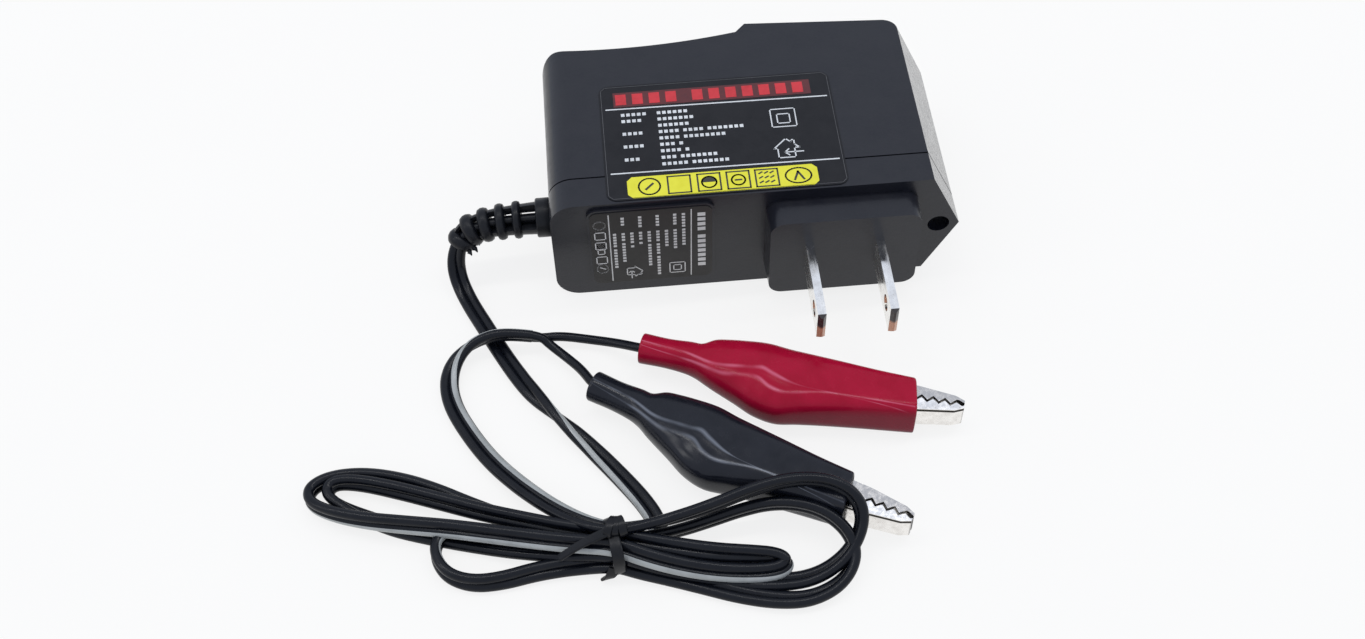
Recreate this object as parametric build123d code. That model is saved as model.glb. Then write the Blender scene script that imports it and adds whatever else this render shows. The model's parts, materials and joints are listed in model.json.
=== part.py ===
from build123d import *
import math
import os

# Plug-in lead-acid battery charger with a tied-up output cord and booted alligator clips.
#
# Everything is laid out from the left, front, bottom corner of the case: +X runs along the case
# to its pointed end, +Y from the wall face to the room, +Z up through the case's thickness as it
# lies on a table. write() then moves each piece so that the origin is under the middle of the
# charger, blades included.

# ---- case ----
CASE_LENGTH = 74.2          # left end to the ridge of the pointed right end
CASE_THICK = 24.2           # Z, lying on its side
TOP_LENGTH = 68.4           # left end to where the pointed end starts
WALL = 1.8
SEAM_Y = 6.75               # parting plane between the wall-side and the room-side shell
LEFT_DEPTH = 40.0
DIP_X, DIP_DEPTH = 17.0, 39.3
STEP_X, STEP_DEPTH = 37.5, 41.5
HUMP_X, HUMP_DEPTH = 39.4, 43.6
RIGHT_DEPTH = 41.4
END_ROUND = 4.5             # long edges at the left end
BACK_ROUND = 2.6            # upright corners at the back
MID_Z = CASE_THICK / 2
GROOVE = 0.3                # fine groove that marks the seam
LIP_HEIGHT, LIP_THICK, LIP_GAP = 2.0, 0.9, 0.1

# ---- plug ----
PEDESTAL_CENTRE_X = 52.25
PEDESTAL_SIZE = (27.6, 19.4)
PEDESTAL_PROUD = 5.5
PEDESTAL_ROUND = 2.8
PEDESTAL_DRAFT = 3.0
BLADE_SPACING = 12.7        # standard two-blade plug
BLADE_WIDTH, BLADE_THICK, BLADE_PROUD = 6.35, 1.5, 16.1
BLADE_ROOT = 7.5            # how far a blade runs behind the pedestal's face
BLADE_HOLE_R, BLADE_HOLE_FROM_FACE = 1.55, 11.7
TIP_CHAMFER = 0.55
FACE_Y = -PEDESTAL_PROUD

# ---- origin ----
BACK_Y = HUMP_DEPTH
TIP_Y = FACE_Y - BLADE_PROUD
ORIGIN = Vector(CASE_LENGTH / 2, (BACK_Y + TIP_Y) / 2, 0)

# ---- labels and case screw ----
LABEL_THICK = 0.15
MAIN_LABEL = (10.4, 53.4, 0.5, 29.0)      # X from, X to, Y from, Y to, on top of the case
LABEL_ROUND = 2.0
PAD_CENTRE = (17.9, 13.0)
PAD_SIZE, PAD_PROUD, PAD_ROUND = (22.8, 20.3), 0.6, 1.8
RATING_MARGIN = 1.0
SCREW_X, SCREW_HEAD_R, SCREW_SHANK_R = 70.4, 1.9, 1.0
SCREW_RECESS_R, SCREW_SEAT_Y, SCREW_HEAD_H, SCREW_LENGTH = 2.0, 5.0, 1.5, 9.0
BOSS_R, BOSS_END_Y = 2.9, 17.0

# ---- cord and strain relief ----
TWIN_R = 1.2                # round tube with the section of the flat twin cord
LEAD_R = 0.85
OUTLET = Vector(0, 8.8, MID_Z)
OUTLET_R = 3.0
COLLAR_R, COLLAR_LENGTH = 3.65, 2.8
FLANGE_R, FLANGE_THICK = 4.3, 1.3
RELIEF_CORE_R = 2.0
RELIEF_RINGS = [(6.4, 3.4), (9.4, 3.25), (12.4, 3.1), (15.4, 2.95), (18.4, 2.8)]
RING_THICK = 1.5
RELIEF_ROUTE = [(0, 8.8, 12.1), (-8.0, 8.8, 12.1), (-13.6, 8.5, 11.4), (-16.7, 7.8, 9.9), (-17.8, 6.5, 6.8)]

CORD_LEAD_ROUTE = [
    (-17.8, 6.5, 6.8), (-18.92, 5.18, 3.65), (-17.6, 1.4, 1.5), (-14.6, -4.8, 1.2),
    (-10.9, -12.8, 1.2), (-7.0, -20.6, 1.2), (-1.7, -28.6, 1.2), (4.2, -35.8, 1.2),
    (10.2, -42.4, 1.2), (14.6, -48.4, 1.2), (17.0, -54.0, 1.2),
]
CORD_LOOP_ROUTE = [
    (5.5, -54.0, 3.0), (0.6, -48.0, 1.8), (-6.6, -41.8, 1.2), (-13.6, -35.2, 1.2),
    (-18.8, -27.4, 1.2), (-21.7, -19.6, 1.6), (-20.6, -13.2, 4.4), (-15.8, -10.2, 6.6),
    (-9.8, -9.9, 6.6),
]
RED_LEAD_ROUTE = [(-0.2, -9.9, 4.4), (4.8, -12.4, 2.2), (9.6, -14.9, 2.8)]
BLACK_LEAD_ROUTE = [(-0.8, -13.4, 4.2), (1.9, -18.2, 1.8)]
SPLIT_RUN = {"red": 4.2, "black": 4.8}

# ---- hank ----
HANK_HEIGHT = 6.0
ARCH_TOP = 11.6             # where the right-hand loops climb over the black clip
ARCH_FROM_X = 14.0
ARCH_CREST = (31.0, -50.0, ARCH_TOP)      # the climb from the waist ends here
ARCH_NEAR = (42.0, -56.5, ARCH_TOP)       # and the loops come down beyond this point
CLIMB_NORMAL, FALL_NORMAL = (-0.34, 0, 1), (-0.35, -0.5, 1)
HANK_OUTLINE = [
    (5.0, -52.2), (-6.0, -48.0), (-13.0, -44.6), (-18.5, -41.2), (-26.0, -37.6),
    (-33.0, -35.6), (-39.0, -35.2), (-43.6, -36.6), (-46.2, -39.4), (-45.8, -42.6),
    (-41.4, -46.0), (-33.0, -49.4), (-24.2, -50.8), (-23.6, -54.2), (-21.0, -58.2),
    (-15.4, -61.2), (-8.0, -60.8), (-1.0, -59.6), (5.0, -60.4), (9.4, -60.6),
    (19.0, -63.8), (27.0, -66.8), (34.4, -69.0), (39.2, -69.4), (44.4, -67.0),
    (48.0, -63.2), (49.8, -58.6), (49.4, -54.6), (46.6, -51.0), (42.0, -49.2),
    (36.8, -49.2), (31.0, -50.2), (24.0, -51.4), (16.0, -52.6), (9.4, -52.4),
]
HANK_ROUND = 1.2
TIE_X, TIE_WIDTH, TIE_THICK = 7.2, 3.0, 0.7
TIE_Y = (-60.6, -52.0)
KNOT_SIZE = (4.4, 2.6, 4.6)
TAIL_ROUTE = [(7.2, -55.6), (-2.6, -58.8)]
TAIL_WIDTH, TAIL_THICK = 2.2, 0.6

# ---- clips ----
CLIP_Z = 4.35
PIVOT_U, PIVOT_V = 36.0, -0.75            # pivot in the boot's own axes
METAL_TURN = 3.6                          # clip against its boot, degrees
CLIPS = {                                 # collar centre, boot direction, how far the boot sits back
    "red": {"collar": (14.7, -17.2), "angle": -20.05, "slid": 0.0},
    "black": {"collar": (5.7, -24.6), "angle": -33.6, "slid": 2.8},
}
BOOT_SECTIONS = [                         # along, across, half width, half height, wall
    (0.0, 0.0, 2.75, 2.75, 0.9), (4.5, 0.0, 2.65, 2.7, 0.9), (8.5, 0.0, 3.0, 2.9, 0.9),
    (12.5, -0.1, 4.5, 3.5, 0.9), (18.0, -0.7, 6.0, 4.1, 0.9), (22.0, -1.4, 6.9, 4.3, 0.9),
    (26.0, -1.9, 7.0, 4.35, 0.9), (30.0, -1.55, 6.3, 4.35, 0.9), (35.0, -1.15, 5.5, 4.35, 0.9),
    (42.0, -0.7, 4.55, 4.3, 0.8), (49.5, -0.15, 3.8, 4.25, 0.7),
]
BOOT_ROUNDNESS = 0.86                     # corner radius over half height
SHEET = 0.5
FLANGE_Z = 2.35                           # half width of a jaw over its flanges
EAR_GAP = 0.05
EAR_R, PIN_R, PIN_CLEAR, PIN_HEAD_R, PIN_HEAD_H = 1.9, 0.9, 0.05, 1.5, 0.35
JAW_BACK = [(2.2, 3.0), (13.5, 2.4), (19.8, 1.5), (21.4, 0.75)]
TOOTH_PITCH, TOOTH_DEPTH, TOOTH_GAP = 2.0, 0.9, 0.6
TEETH_FROM, TEETH_TO = 5.0, 20.0
FIXED_LEVER = [(-2.2, 3.0), (-8.0, 3.6), (-15.0, 4.7)]
MOVING_LEVER = [(-2.2, 3.0), (-8.0, 3.6), (-14.0, 4.5)]
LEVER_Z = 2.1
CRIMP_FROM, CRIMP_TO, CRIMP_V, CRIMP_R = -20.6, -16.8, 0.4, 1.3
SPRING_R, SPRING_WIRE_R, SPRING_TURNS, SPRING_PITCH = 1.55, 0.3, 4, 0.75
SPRING_LEG = 9.0

# ---- circuit board ----
BOARD_X, BOARD_Y, BOARD_Z, BOARD_THICK = (5.0, 62.0), (8.6, 37.2), 4.4, 1.6
BOARD_TOP = BOARD_Z + BOARD_THICK
POST_R, POST_PIN_R, POST_PIN_H, POST_INSET = 1.9, 0.8, 1.0, 3.2
LED_X, LED_R, LED_PROUD = 56.0, 1.5, 0.5

os.makedirs("parts", exist_ok=True)


def write(node, shape):
    """Write one node's solids with the row's origin."""
    placed = shape.moved(Location(-ORIGIN))
    placed.label = node
    export_step(placed, f"parts/{node}.step")


def span(x, y, z):
    """A box given by its lowest and highest X, Y and Z."""
    size = [high - low for low, high in (x, y, z)]
    middle = [(high + low) / 2 for low, high in (x, y, z)]
    return Pos(*middle) * Box(*size)


def rod(start, end, radius):
    """A round bar between two points."""
    run = Vector(*end) - Vector(*start)
    return Plane(origin=start, z_dir=run) * Cylinder(
        radius, run.length, align=(Align.CENTER, Align.CENTER, Align.MIN))


def bored(shape, start, end, radius):
    return shape - rod(start, end, radius)


def arc_radii(points):
    """The largest arc that each corner's two runs allow."""
    radii = []
    for before, here, after in zip(points, points[1:], points[2:]):
        run_in, run_out = here - before, after - here
        half_turn = math.radians(run_in.get_angle(run_out)) / 2
        radii.append(0.45 * min(run_in.length, run_out.length) / math.tan(half_turn))
    return radii


def tube(name, route, radius):
    """A round tube of straight runs and tangent arcs."""
    points = [Vector(*p) for p in route]
    radii = arc_radii(points)
    path = FilletPolyline(*points, radius=radii)
    solid = sweep(Plane(origin=points[0], z_dir=path % 0) * Circle(radius), path=path)
    expected = math.pi * radius ** 2 * path.length
    turns = ", ".join(f"{r:.1f}" for r in radii)
    print(f"{name}: {path.length:.1f} mm, volume ratio {solid.volume / expected:.4f}, radii {turns}")
    return solid


# ---------------------------------------------------------------- case
def end_view(inset):
    """The case seen along Y: flat left end with rounded edges, pointed right end."""
    outline = Polyline(
        (0, 0), (TOP_LENGTH, 0), (CASE_LENGTH, MID_Z), (TOP_LENGTH, CASE_THICK), (0, CASE_THICK), close=True)
    face = make_face(outline)
    face = fillet(face.vertices().sort_by(Axis.X)[:2], END_ROUND)
    return offset(face, -inset) if inset else face


def plan_view(inset):
    """The case seen along Z: flat wall face, back with a shallow dip, a step and a hump."""
    back = [
        Line((0, 0), (0, LEFT_DEPTH)),
        ThreePointArc((0, LEFT_DEPTH), (DIP_X, DIP_DEPTH), (STEP_X, STEP_DEPTH)),
        Line((STEP_X, STEP_DEPTH), (HUMP_X, HUMP_DEPTH)),
        Line((HUMP_X, HUMP_DEPTH), (CASE_LENGTH, RIGHT_DEPTH)),
        Line((CASE_LENGTH, RIGHT_DEPTH), (CASE_LENGTH, 0)),
        Line((CASE_LENGTH, 0), (0, 0)),
    ]
    face = make_face(Curve() + back)
    if inset:
        return offset(face, -inset, kind=Kind.INTERSECTION)
    corner = face.vertices().sort_by_distance((0, LEFT_DEPTH))[0]
    return fillet(corner, BACK_ROUND)


def case_block(inset):
    along_y = extrude(Plane.XZ * end_view(inset), -2 * BACK_Y, both=False)
    along_z = extrude(plan_view(inset), CASE_THICK)
    return along_y & along_z


def outer_block():
    block = case_block(0)
    right_back = block.edges().filter_by(
        lambda e: e.center().Y > RIGHT_DEPTH - 1 and e.center().X > TOP_LENGTH + 1)
    return fillet(right_back, BACK_ROUND)


def seam_band(outer_inset, inner_inset, y_from, y_to):
    """A ring that follows the end view between two insets."""
    ring = Plane.XZ * (end_view(outer_inset) - end_view(inner_inset))
    return Pos(0, y_from, 0) * extrude(ring, -(y_to - y_from))


SHELL = outer_block() - case_block(WALL)
SCREW_AXIS = (SCREW_X, MID_Z)


def on_axis(y):
    return (SCREW_X, y, MID_Z)


def on_wall(width, height, round_r, centre, proud, y=0.0, taper=0.0):
    """A rounded plate that stands on a wall facing -Y."""
    face = Pos(*centre) * RectangleRounded(width, height, round_r)
    return Pos(0, y, 0) * extrude(Plane.XZ * face, proud, taper=taper)


def build_front_case():
    body = SHELL & span((-1, CASE_LENGTH + 1), (-1, SEAM_Y), (-1, CASE_THICK + 1))
    body -= seam_band(0, GROOVE, SEAM_Y - GROOVE, SEAM_Y)
    lip = seam_band(WALL + LIP_GAP, WALL + LIP_GAP + LIP_THICK, SEAM_Y, SEAM_Y + LIP_HEIGHT)
    root = seam_band(WALL, WALL + LIP_GAP + LIP_THICK, SEAM_Y - 1.2, SEAM_Y)
    pedestal = on_wall(*PEDESTAL_SIZE, PEDESTAL_ROUND, (PEDESTAL_CENTRE_X, MID_Z), PEDESTAL_PROUD,
                       taper=PEDESTAL_DRAFT)
    pad = on_wall(*PAD_SIZE, PAD_ROUND, PAD_CENTRE, PAD_PROUD)
    tower = rod(on_axis(WALL - 0.2), on_axis(SEAM_Y), BOSS_R + 0.4) & case_block(WALL / 2)
    body = body + lip + root + pedestal + pad + tower
    pocket = (PEDESTAL_SIZE[0] / 2 - WALL - 0.4, PEDESTAL_SIZE[1] / 2 - WALL - 0.4)
    body -= span((PEDESTAL_CENTRE_X - pocket[0], PEDESTAL_CENTRE_X + pocket[0]),
                 (FACE_Y + WALL, WALL + 0.5), (MID_Z - pocket[1], MID_Z + pocket[1]))
    for side in (-1, 1):
        body -= blade_slot(side)
    body -= rod((WALL, OUTLET.Y, OUTLET.Z), (WALL + FLANGE_THICK, OUTLET.Y, OUTLET.Z), FLANGE_R)
    body = bored(body, on_axis(-1), on_axis(SCREW_SEAT_Y), SCREW_RECESS_R)
    body = bored(body, on_axis(0), on_axis(SEAM_Y + LIP_HEIGHT + 1), SCREW_SHANK_R + 0.2)
    body -= rod(on_axis(SEAM_Y), on_axis(SEAM_Y + LIP_HEIGHT + 1), BOSS_R + 0.3)
    return bored(body, (-1, OUTLET.Y, OUTLET.Z), (WALL + LIP_GAP + LIP_THICK + 2, OUTLET.Y, OUTLET.Z),
                 OUTLET_R)


def build_rear_case():
    body = SHELL & span((-1, CASE_LENGTH + 1), (SEAM_Y, BACK_Y + 1), (-1, CASE_THICK + 1))
    boss = rod(on_axis(SEAM_Y), on_axis(BOSS_END_Y), BOSS_R)
    body += boss & case_block(WALL / 2)
    for x, y in board_corners():
        body += rod((x, y, WALL / 2), (x, y, BOARD_Z), POST_R)
        body += rod((x, y, BOARD_Z), (x, y, BOARD_TOP + POST_PIN_H), POST_PIN_R)
    body = bored(body, on_axis(SEAM_Y - 1), on_axis(SCREW_SEAT_Y + SCREW_LENGTH + 0.5), SCREW_SHANK_R)
    body = bored(body, (LED_X, BACK_Y - 5, MID_Z), (LED_X, BACK_Y + 1, MID_Z), LED_R + 0.05)
    return bored(body, (-1, OUTLET.Y, OUTLET.Z), (WALL + 1, OUTLET.Y, OUTLET.Z), OUTLET_R)


def board_corners():
    return [(x, y) for x in (BOARD_X[0] + POST_INSET, BOARD_X[1] - POST_INSET)
            for y in (BOARD_Y[0] + POST_INSET, BOARD_Y[1] - POST_INSET)]


def build_screw():
    head = rod(on_axis(SCREW_SEAT_Y - SCREW_HEAD_H), on_axis(SCREW_SEAT_Y), SCREW_HEAD_R)
    shank = rod(on_axis(SCREW_SEAT_Y), on_axis(SCREW_SEAT_Y + SCREW_LENGTH), SCREW_SHANK_R)
    depth = SCREW_SEAT_Y - SCREW_HEAD_H + 0.7
    cross = span((SCREW_X - 1.1, SCREW_X + 1.1), (0, depth), (MID_Z - 0.25, MID_Z + 0.25))
    cross += span((SCREW_X - 0.25, SCREW_X + 0.25), (0, depth), (MID_Z - 1.1, MID_Z + 1.1))
    return head + shank - cross


# ---------------------------------------------------------------- plug blades
def blade_x(side):
    return PEDESTAL_CENTRE_X + side * BLADE_SPACING / 2


def blade_slot(side):
    x = blade_x(side)
    return span((x - BLADE_THICK / 2, x + BLADE_THICK / 2), (FACE_Y - 1, FACE_Y + WALL + 1),
                (MID_Z - BLADE_WIDTH / 2, MID_Z + BLADE_WIDTH / 2))


def build_blade(side):
    x = blade_x(side)
    blade = span((x - BLADE_THICK / 2, x + BLADE_THICK / 2), (TIP_Y, FACE_Y + BLADE_ROOT),
                 (MID_Z - BLADE_WIDTH / 2, MID_Z + BLADE_WIDTH / 2))
    tip = blade.faces().sort_by(Axis.Y)[0]
    blade = chamfer(tip.edges(), TIP_CHAMFER)
    hole_y = FACE_Y - BLADE_HOLE_FROM_FACE
    return bored(blade, (x - 2, hole_y, MID_Z), (x + 2, hole_y, MID_Z), BLADE_HOLE_R)


def build_blade_carrier():
    """The moulded block that holds both blades behind the pedestal's face."""
    half_x, half_z = PEDESTAL_SIZE[0] / 2 - WALL - 1.0, PEDESTAL_SIZE[1] / 2 - WALL - 1.0
    block = span((PEDESTAL_CENTRE_X - half_x, PEDESTAL_CENTRE_X + half_x), (FACE_Y + WALL, WALL - 0.8),
                 (MID_Z - half_z, MID_Z + half_z))
    for side in (-1, 1):
        block -= build_blade(side)
    return block


# ---------------------------------------------------------------- labels
def build_main_label():
    x0, x1, y0, y1 = MAIN_LABEL
    face = Pos((x0 + x1) / 2, (y0 + y1) / 2) * RectangleRounded(x1 - x0, y1 - y0, LABEL_ROUND)
    return Pos(0, 0, CASE_THICK) * extrude(face, LABEL_THICK)


def build_rating_label():
    return on_wall(PAD_SIZE[0] - RATING_MARGIN, PAD_SIZE[1] - RATING_MARGIN, PAD_ROUND - 0.4, PAD_CENTRE,
                   LABEL_THICK, y=-PAD_PROUD)


# ---------------------------------------------------------------- strain relief
def along(points, distance):
    """The point and direction at a distance along a rounded route."""
    path = FilletPolyline(*points, radius=arc_radii(points))
    share = distance / path.length
    return path @ share, path % share


def build_strain_relief():
    points = [Vector(*p) for p in RELIEF_ROUTE]
    relief = tube("strain_relief core", RELIEF_ROUTE, RELIEF_CORE_R)
    relief += rod((WALL + FLANGE_THICK, OUTLET.Y, OUTLET.Z), (WALL, OUTLET.Y, OUTLET.Z), FLANGE_R)
    relief += rod((WALL, OUTLET.Y, OUTLET.Z), (0, OUTLET.Y, OUTLET.Z), OUTLET_R)
    relief += rod((0, OUTLET.Y, OUTLET.Z), (-COLLAR_LENGTH, OUTLET.Y, OUTLET.Z), COLLAR_R)
    for distance, radius in RELIEF_RINGS:
        centre, direction = along(points, distance)
        ring = Plane(origin=centre, z_dir=direction) * Cylinder(radius, RING_THICK)
        relief += ring
    return relief


# ---------------------------------------------------------------- clips
def clip_frame(colour, metal=True):
    """Where a clip lies: its boot's axes, or the metal clip's axes at the pivot."""
    clip = CLIPS[colour]
    boot = Location((*clip["collar"], CLIP_Z), (0, 0, clip["angle"]))
    if not metal:
        return boot
    return boot * Location((PIVOT_U + clip["slid"], PIVOT_V, 0), (0, 0, METAL_TURN))


def clip_point(colour, u, v, metal=True):
    return (clip_frame(colour, metal) * Location((u, v, 0))).position


def boot_loft(grow, first, last):
    faces = []
    for u, v, half_v, half_z, wall in BOOT_SECTIONS:
        shrink = wall if grow else 0
        shift = first if u == 0 else last if u == BOOT_SECTIONS[-1][0] else 0
        width, height = 2 * (half_v - shrink), 2 * (half_z - shrink)
        corner = BOOT_ROUNDNESS * min(half_z, half_v) - shrink * BOOT_ROUNDNESS
        plane = Plane(origin=(u + shift, v, 0), x_dir=(0, 1, 0), z_dir=(1, 0, 0))
        faces.append(plane * RectangleRounded(width, height, corner))
    return loft(faces, ruled=True)


def build_boot():
    """A soft hollow sleeve: round collar, wide over the levers, open mouth."""
    return boot_loft(False, 0, 0) - boot_loft(True, -1.0, 1.0)


def zigzag(first):
    """One jaw's tooth line. first is 1 where it starts on a tooth, -1 where it starts in a gap."""
    count = int((TEETH_TO - TEETH_FROM) / (TOOTH_PITCH / 2))
    return [(TEETH_FROM + i * TOOTH_PITCH / 2, (TOOTH_GAP - first * (-1) ** i * TOOTH_DEPTH) / 2)
            for i in range(count + 1)]


def strip(line, thick, half_z):
    """A sheet that follows a line of (u, v) points, thick towards the clip's middle."""
    inner = [(u, v - thick) for u, v in reversed(line)]
    return extrude(Pos(0, 0, -half_z) * make_face(Polyline(*line, *inner, close=True)), 2 * half_z)


def jaw_plate(first, z_from, z_to):
    """The toothed flange of the far jaw, between two heights."""
    edge = [(JAW_BACK[0][0], TOOTH_GAP / 2), (TEETH_FROM - 0.6, TOOTH_GAP / 2)] + zigzag(first)
    outline = make_face(Polyline(*JAW_BACK, *reversed(edge), close=True))
    return extrude(Pos(0, 0, z_from) * outline, z_to - z_from)


def ear(z_from, z_to, reach, bore_r):
    """A round ear about the pivot with a neck to the sheet's back."""
    disc = Circle(EAR_R) + make_face(Polyline((-2.6, 0), (-2.6, reach), (2.6, reach), (2.6, 0), close=True))
    return extrude(Pos(0, 0, z_from) * (disc - Circle(bore_r)), z_to - z_from)


def mirrored(shape):
    return shape + mirror(shape, about=Plane.XY)


def build_moving_jaw():
    inner = FLANGE_Z - SHEET
    jaw = strip(JAW_BACK, SHEET, FLANGE_Z)
    jaw += mirrored(jaw_plate(1, inner, FLANGE_Z))
    jaw += mirrored(ear(inner, FLANGE_Z, JAW_BACK[0][1] - SHEET / 2, PIN_R + PIN_CLEAR))
    jaw += strip([MOVING_LEVER[0], (JAW_BACK[0][0], MOVING_LEVER[0][1])], SHEET, FLANGE_Z)
    jaw += strip(MOVING_LEVER, SHEET, LEVER_Z)
    return jaw


def build_fixed_jaw():
    """The other half, with its ears outside the moving jaw's, and the crimp for the lead."""
    inner = FLANGE_Z - SHEET
    outer = FLANGE_Z + EAR_GAP
    jaw = strip(JAW_BACK, SHEET, FLANGE_Z)
    jaw += mirrored(jaw_plate(-1, inner, FLANGE_Z))
    jaw += strip([FIXED_LEVER[0], (JAW_BACK[0][0], FIXED_LEVER[0][1])], SHEET, outer + SHEET)
    jaw += mirrored(ear(outer, outer + SHEET, JAW_BACK[0][1], PIN_R))
    jaw += strip(FIXED_LEVER, SHEET, LEVER_Z)
    jaw = mirror(jaw, about=Plane.XZ)
    lever_end = FIXED_LEVER[-1]
    tail = [(lever_end[0] + 0.4, -lever_end[1]), (CRIMP_TO - 0.6, CRIMP_V - CRIMP_R + 0.5)]
    tail += [(CRIMP_TO + 0.2, CRIMP_V - CRIMP_R + 0.3), (lever_end[0] + 0.9, -lever_end[1] + 0.3)]
    jaw += extrude(Pos(0, 0, -CRIMP_R + 0.2) * make_face(Polyline(*tail, close=True)), 2 * CRIMP_R - 0.4)
    jaw += rod((CRIMP_FROM, CRIMP_V, 0), (CRIMP_TO, CRIMP_V, 0), CRIMP_R)
    return bored(jaw, (CRIMP_FROM - 1, CRIMP_V, 0), (CRIMP_TO - 0.4, CRIMP_V, 0), LEAD_R)


def build_pin():
    top = FLANGE_Z + EAR_GAP + SHEET
    pin = rod((0, 0, -top - PIN_HEAD_H), (0, 0, top + PIN_HEAD_H), PIN_R)
    for z_from in (-top - PIN_HEAD_H, top):
        pin += rod((0, 0, z_from), (0, 0, z_from + PIN_HEAD_H), PIN_HEAD_R)
    return pin


def build_spring():
    """A torsion spring: turns about the pivot pin, one leg against each lever."""
    height = (SPRING_TURNS - 1) * SPRING_PITCH
    spring = rod((SPRING_R, 0, -height / 2), (SPRING_R, 0, height / 2), SPRING_WIRE_R * 0.8)
    for turn in range(SPRING_TURNS):
        spring += Pos(0, 0, turn * SPRING_PITCH - height / 2) * Torus(SPRING_R, SPRING_WIRE_R)
    slope = (MOVING_LEVER[2][1] - MOVING_LEVER[0][1]) / (MOVING_LEVER[0][0] - MOVING_LEVER[2][0])
    for side in (-1, 1):
        z = side * height / 2
        end = (-SPRING_LEG, side * (SPRING_R + 0.1 + slope * SPRING_LEG), z)
        spring += rod((SPRING_WIRE_R, side * SPRING_R, z), end, SPRING_WIRE_R * 0.85)
    return spring


def swing_area(colour):
    """Plan of the space that the jaws need outside the boot."""
    reach = JAW_BACK[-1][0] + 1.5
    corners = [(10.0, -3.4), (reach, -2.0), (reach, 2.0), (reach - 3.0, 12.0), (10.0, 8.0)]
    return make_face(Polyline(*[tuple(clip_point(colour, u, v))[:2] for u, v in corners], close=True))


def boot_area(colour, margin):
    """Plan of a boot with a margin about it."""
    far = [(u, v + half_v + margin) for u, v, half_v, _, _ in BOOT_SECTIONS]
    near = [(u, v - half_v - margin) for u, v, half_v, _, _ in reversed(BOOT_SECTIONS)]
    far.append((BOOT_SECTIONS[-1][0] + margin, BOOT_SECTIONS[-1][2] + margin))
    near.insert(0, (BOOT_SECTIONS[-1][0] + margin, -BOOT_SECTIONS[-1][2] - margin))
    points = [tuple(clip_point(colour, u, v, metal=False))[:2] for u, v in far + near]
    return make_face(Polyline(*points, close=True))


# ---------------------------------------------------------------- hank, tie and cord
def build_tie():
    """A flat strap about the hank's waist, with its twisted knot and one long tail."""
    outer = span((TIE_X - TIE_WIDTH / 2, TIE_X + TIE_WIDTH / 2), TIE_Y, (0, HANK_HEIGHT + TIE_THICK))
    hollow = span((TIE_X - TIE_WIDTH, TIE_X + TIE_WIDTH), (TIE_Y[0] + TIE_THICK, TIE_Y[1] - TIE_THICK),
                  (TIE_THICK, HANK_HEIGHT))
    knot = span((TIE_X - KNOT_SIZE[0] / 2, TIE_X + KNOT_SIZE[0] / 2), (TIE_Y[1] - 0.2, TIE_Y[1] + KNOT_SIZE[1]),
                (HANK_HEIGHT - KNOT_SIZE[2] + 1.4, HANK_HEIGHT + 1.4))
    (x0, y0), (x1, y1) = TAIL_ROUTE
    tail_length = math.hypot(x1 - x0, y1 - y0)
    tail = Location(((x0 + x1) / 2, (y0 + y1) / 2, HANK_HEIGHT + TAIL_THICK / 2),
                    (0, 0, math.degrees(math.atan2(y1 - y0, x1 - x0))))
    return (outer - hollow) + knot + tail * Box(tail_length, TAIL_WIDTH, TAIL_THICK)


def build_hank(tie):
    """The tied turns of cord as one closed shape: two lobes, a waist and an arch over the clip."""
    outline = make_face(Polyline(*HANK_OUTLINE, close=True))
    outline = fillet(outline.vertices(), HANK_ROUND)
    right_side = Pos(ARCH_FROM_X + CASE_LENGTH / 2, -CASE_LENGTH) * Rectangle(CASE_LENGTH, CASE_LENGTH)
    arch = extrude(outline & right_side, ARCH_TOP)
    for crest, normal in ((ARCH_CREST, CLIMB_NORMAL), (ARCH_NEAR, FALL_NORMAL)):
        arch = split(arch, bisect_by=Plane(origin=crest, z_dir=normal), keep=Keep.BOTTOM)
    hank = extrude(outline, HANK_HEIGHT) + arch
    under_arch = 2 * CLIP_Z + 0.6
    hank -= Pos(0, 0, -1) * extrude(boot_area("black", 0.6), under_arch + 1)
    hank -= Pos(0, 0, -1) * extrude(swing_area("black"), CLIP_Z + FLANGE_Z + SHEET + 1.5)
    inside = span((TIE_X - TIE_WIDTH / 2, TIE_X + TIE_WIDTH / 2), (TIE_Y[0] - 1, TIE_Y[1] + 1),
                  (-1, HANK_HEIGHT + 1))
    waist = span((TIE_X - TIE_WIDTH, TIE_X + TIE_WIDTH), (TIE_Y[0] + TIE_THICK, TIE_Y[1] - TIE_THICK),
                 (TIE_THICK, HANK_HEIGHT))
    return hank - (inside - waist) - tie


def lead_route(colour, start, direction, middle):
    """One core from the split to the crimp inside its clip's boot."""
    first = start + direction * SPLIT_RUN[colour]
    inside = [clip_point(colour, -0.4, 0, metal=False), clip_point(colour, 6.4, -0.2, metal=False)]
    inside += [clip_point(colour, CRIMP_FROM - 3.4, CRIMP_V), clip_point(colour, CRIMP_TO - 0.4, CRIMP_V)]
    return [tuple(p) for p in (start, first, *[Vector(*q) for q in middle], *inside)]


# ---------------------------------------------------------------- circuit board and what is on it
def build_board():
    board = span(BOARD_X, BOARD_Y, (BOARD_Z, BOARD_TOP))
    for x, y in board_corners():
        board = bored(board, (x, y, BOARD_Z - 1), (x, y, BOARD_TOP + 1), POST_PIN_R + 0.1)
    return board


def standing_can(x, y, radius, height):
    """An electrolytic capacitor that stands on the board, with its crimped neck."""
    z = BOARD_TOP
    can = rod((x, y, z), (x, y, z + height), radius)
    neck = rod((x, y, z + 1.6), (x, y, z + 2.3), radius + 1) - rod((x, y, z + 1.6), (x, y, z + 2.3), radius - 0.3)
    return can - neck


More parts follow.
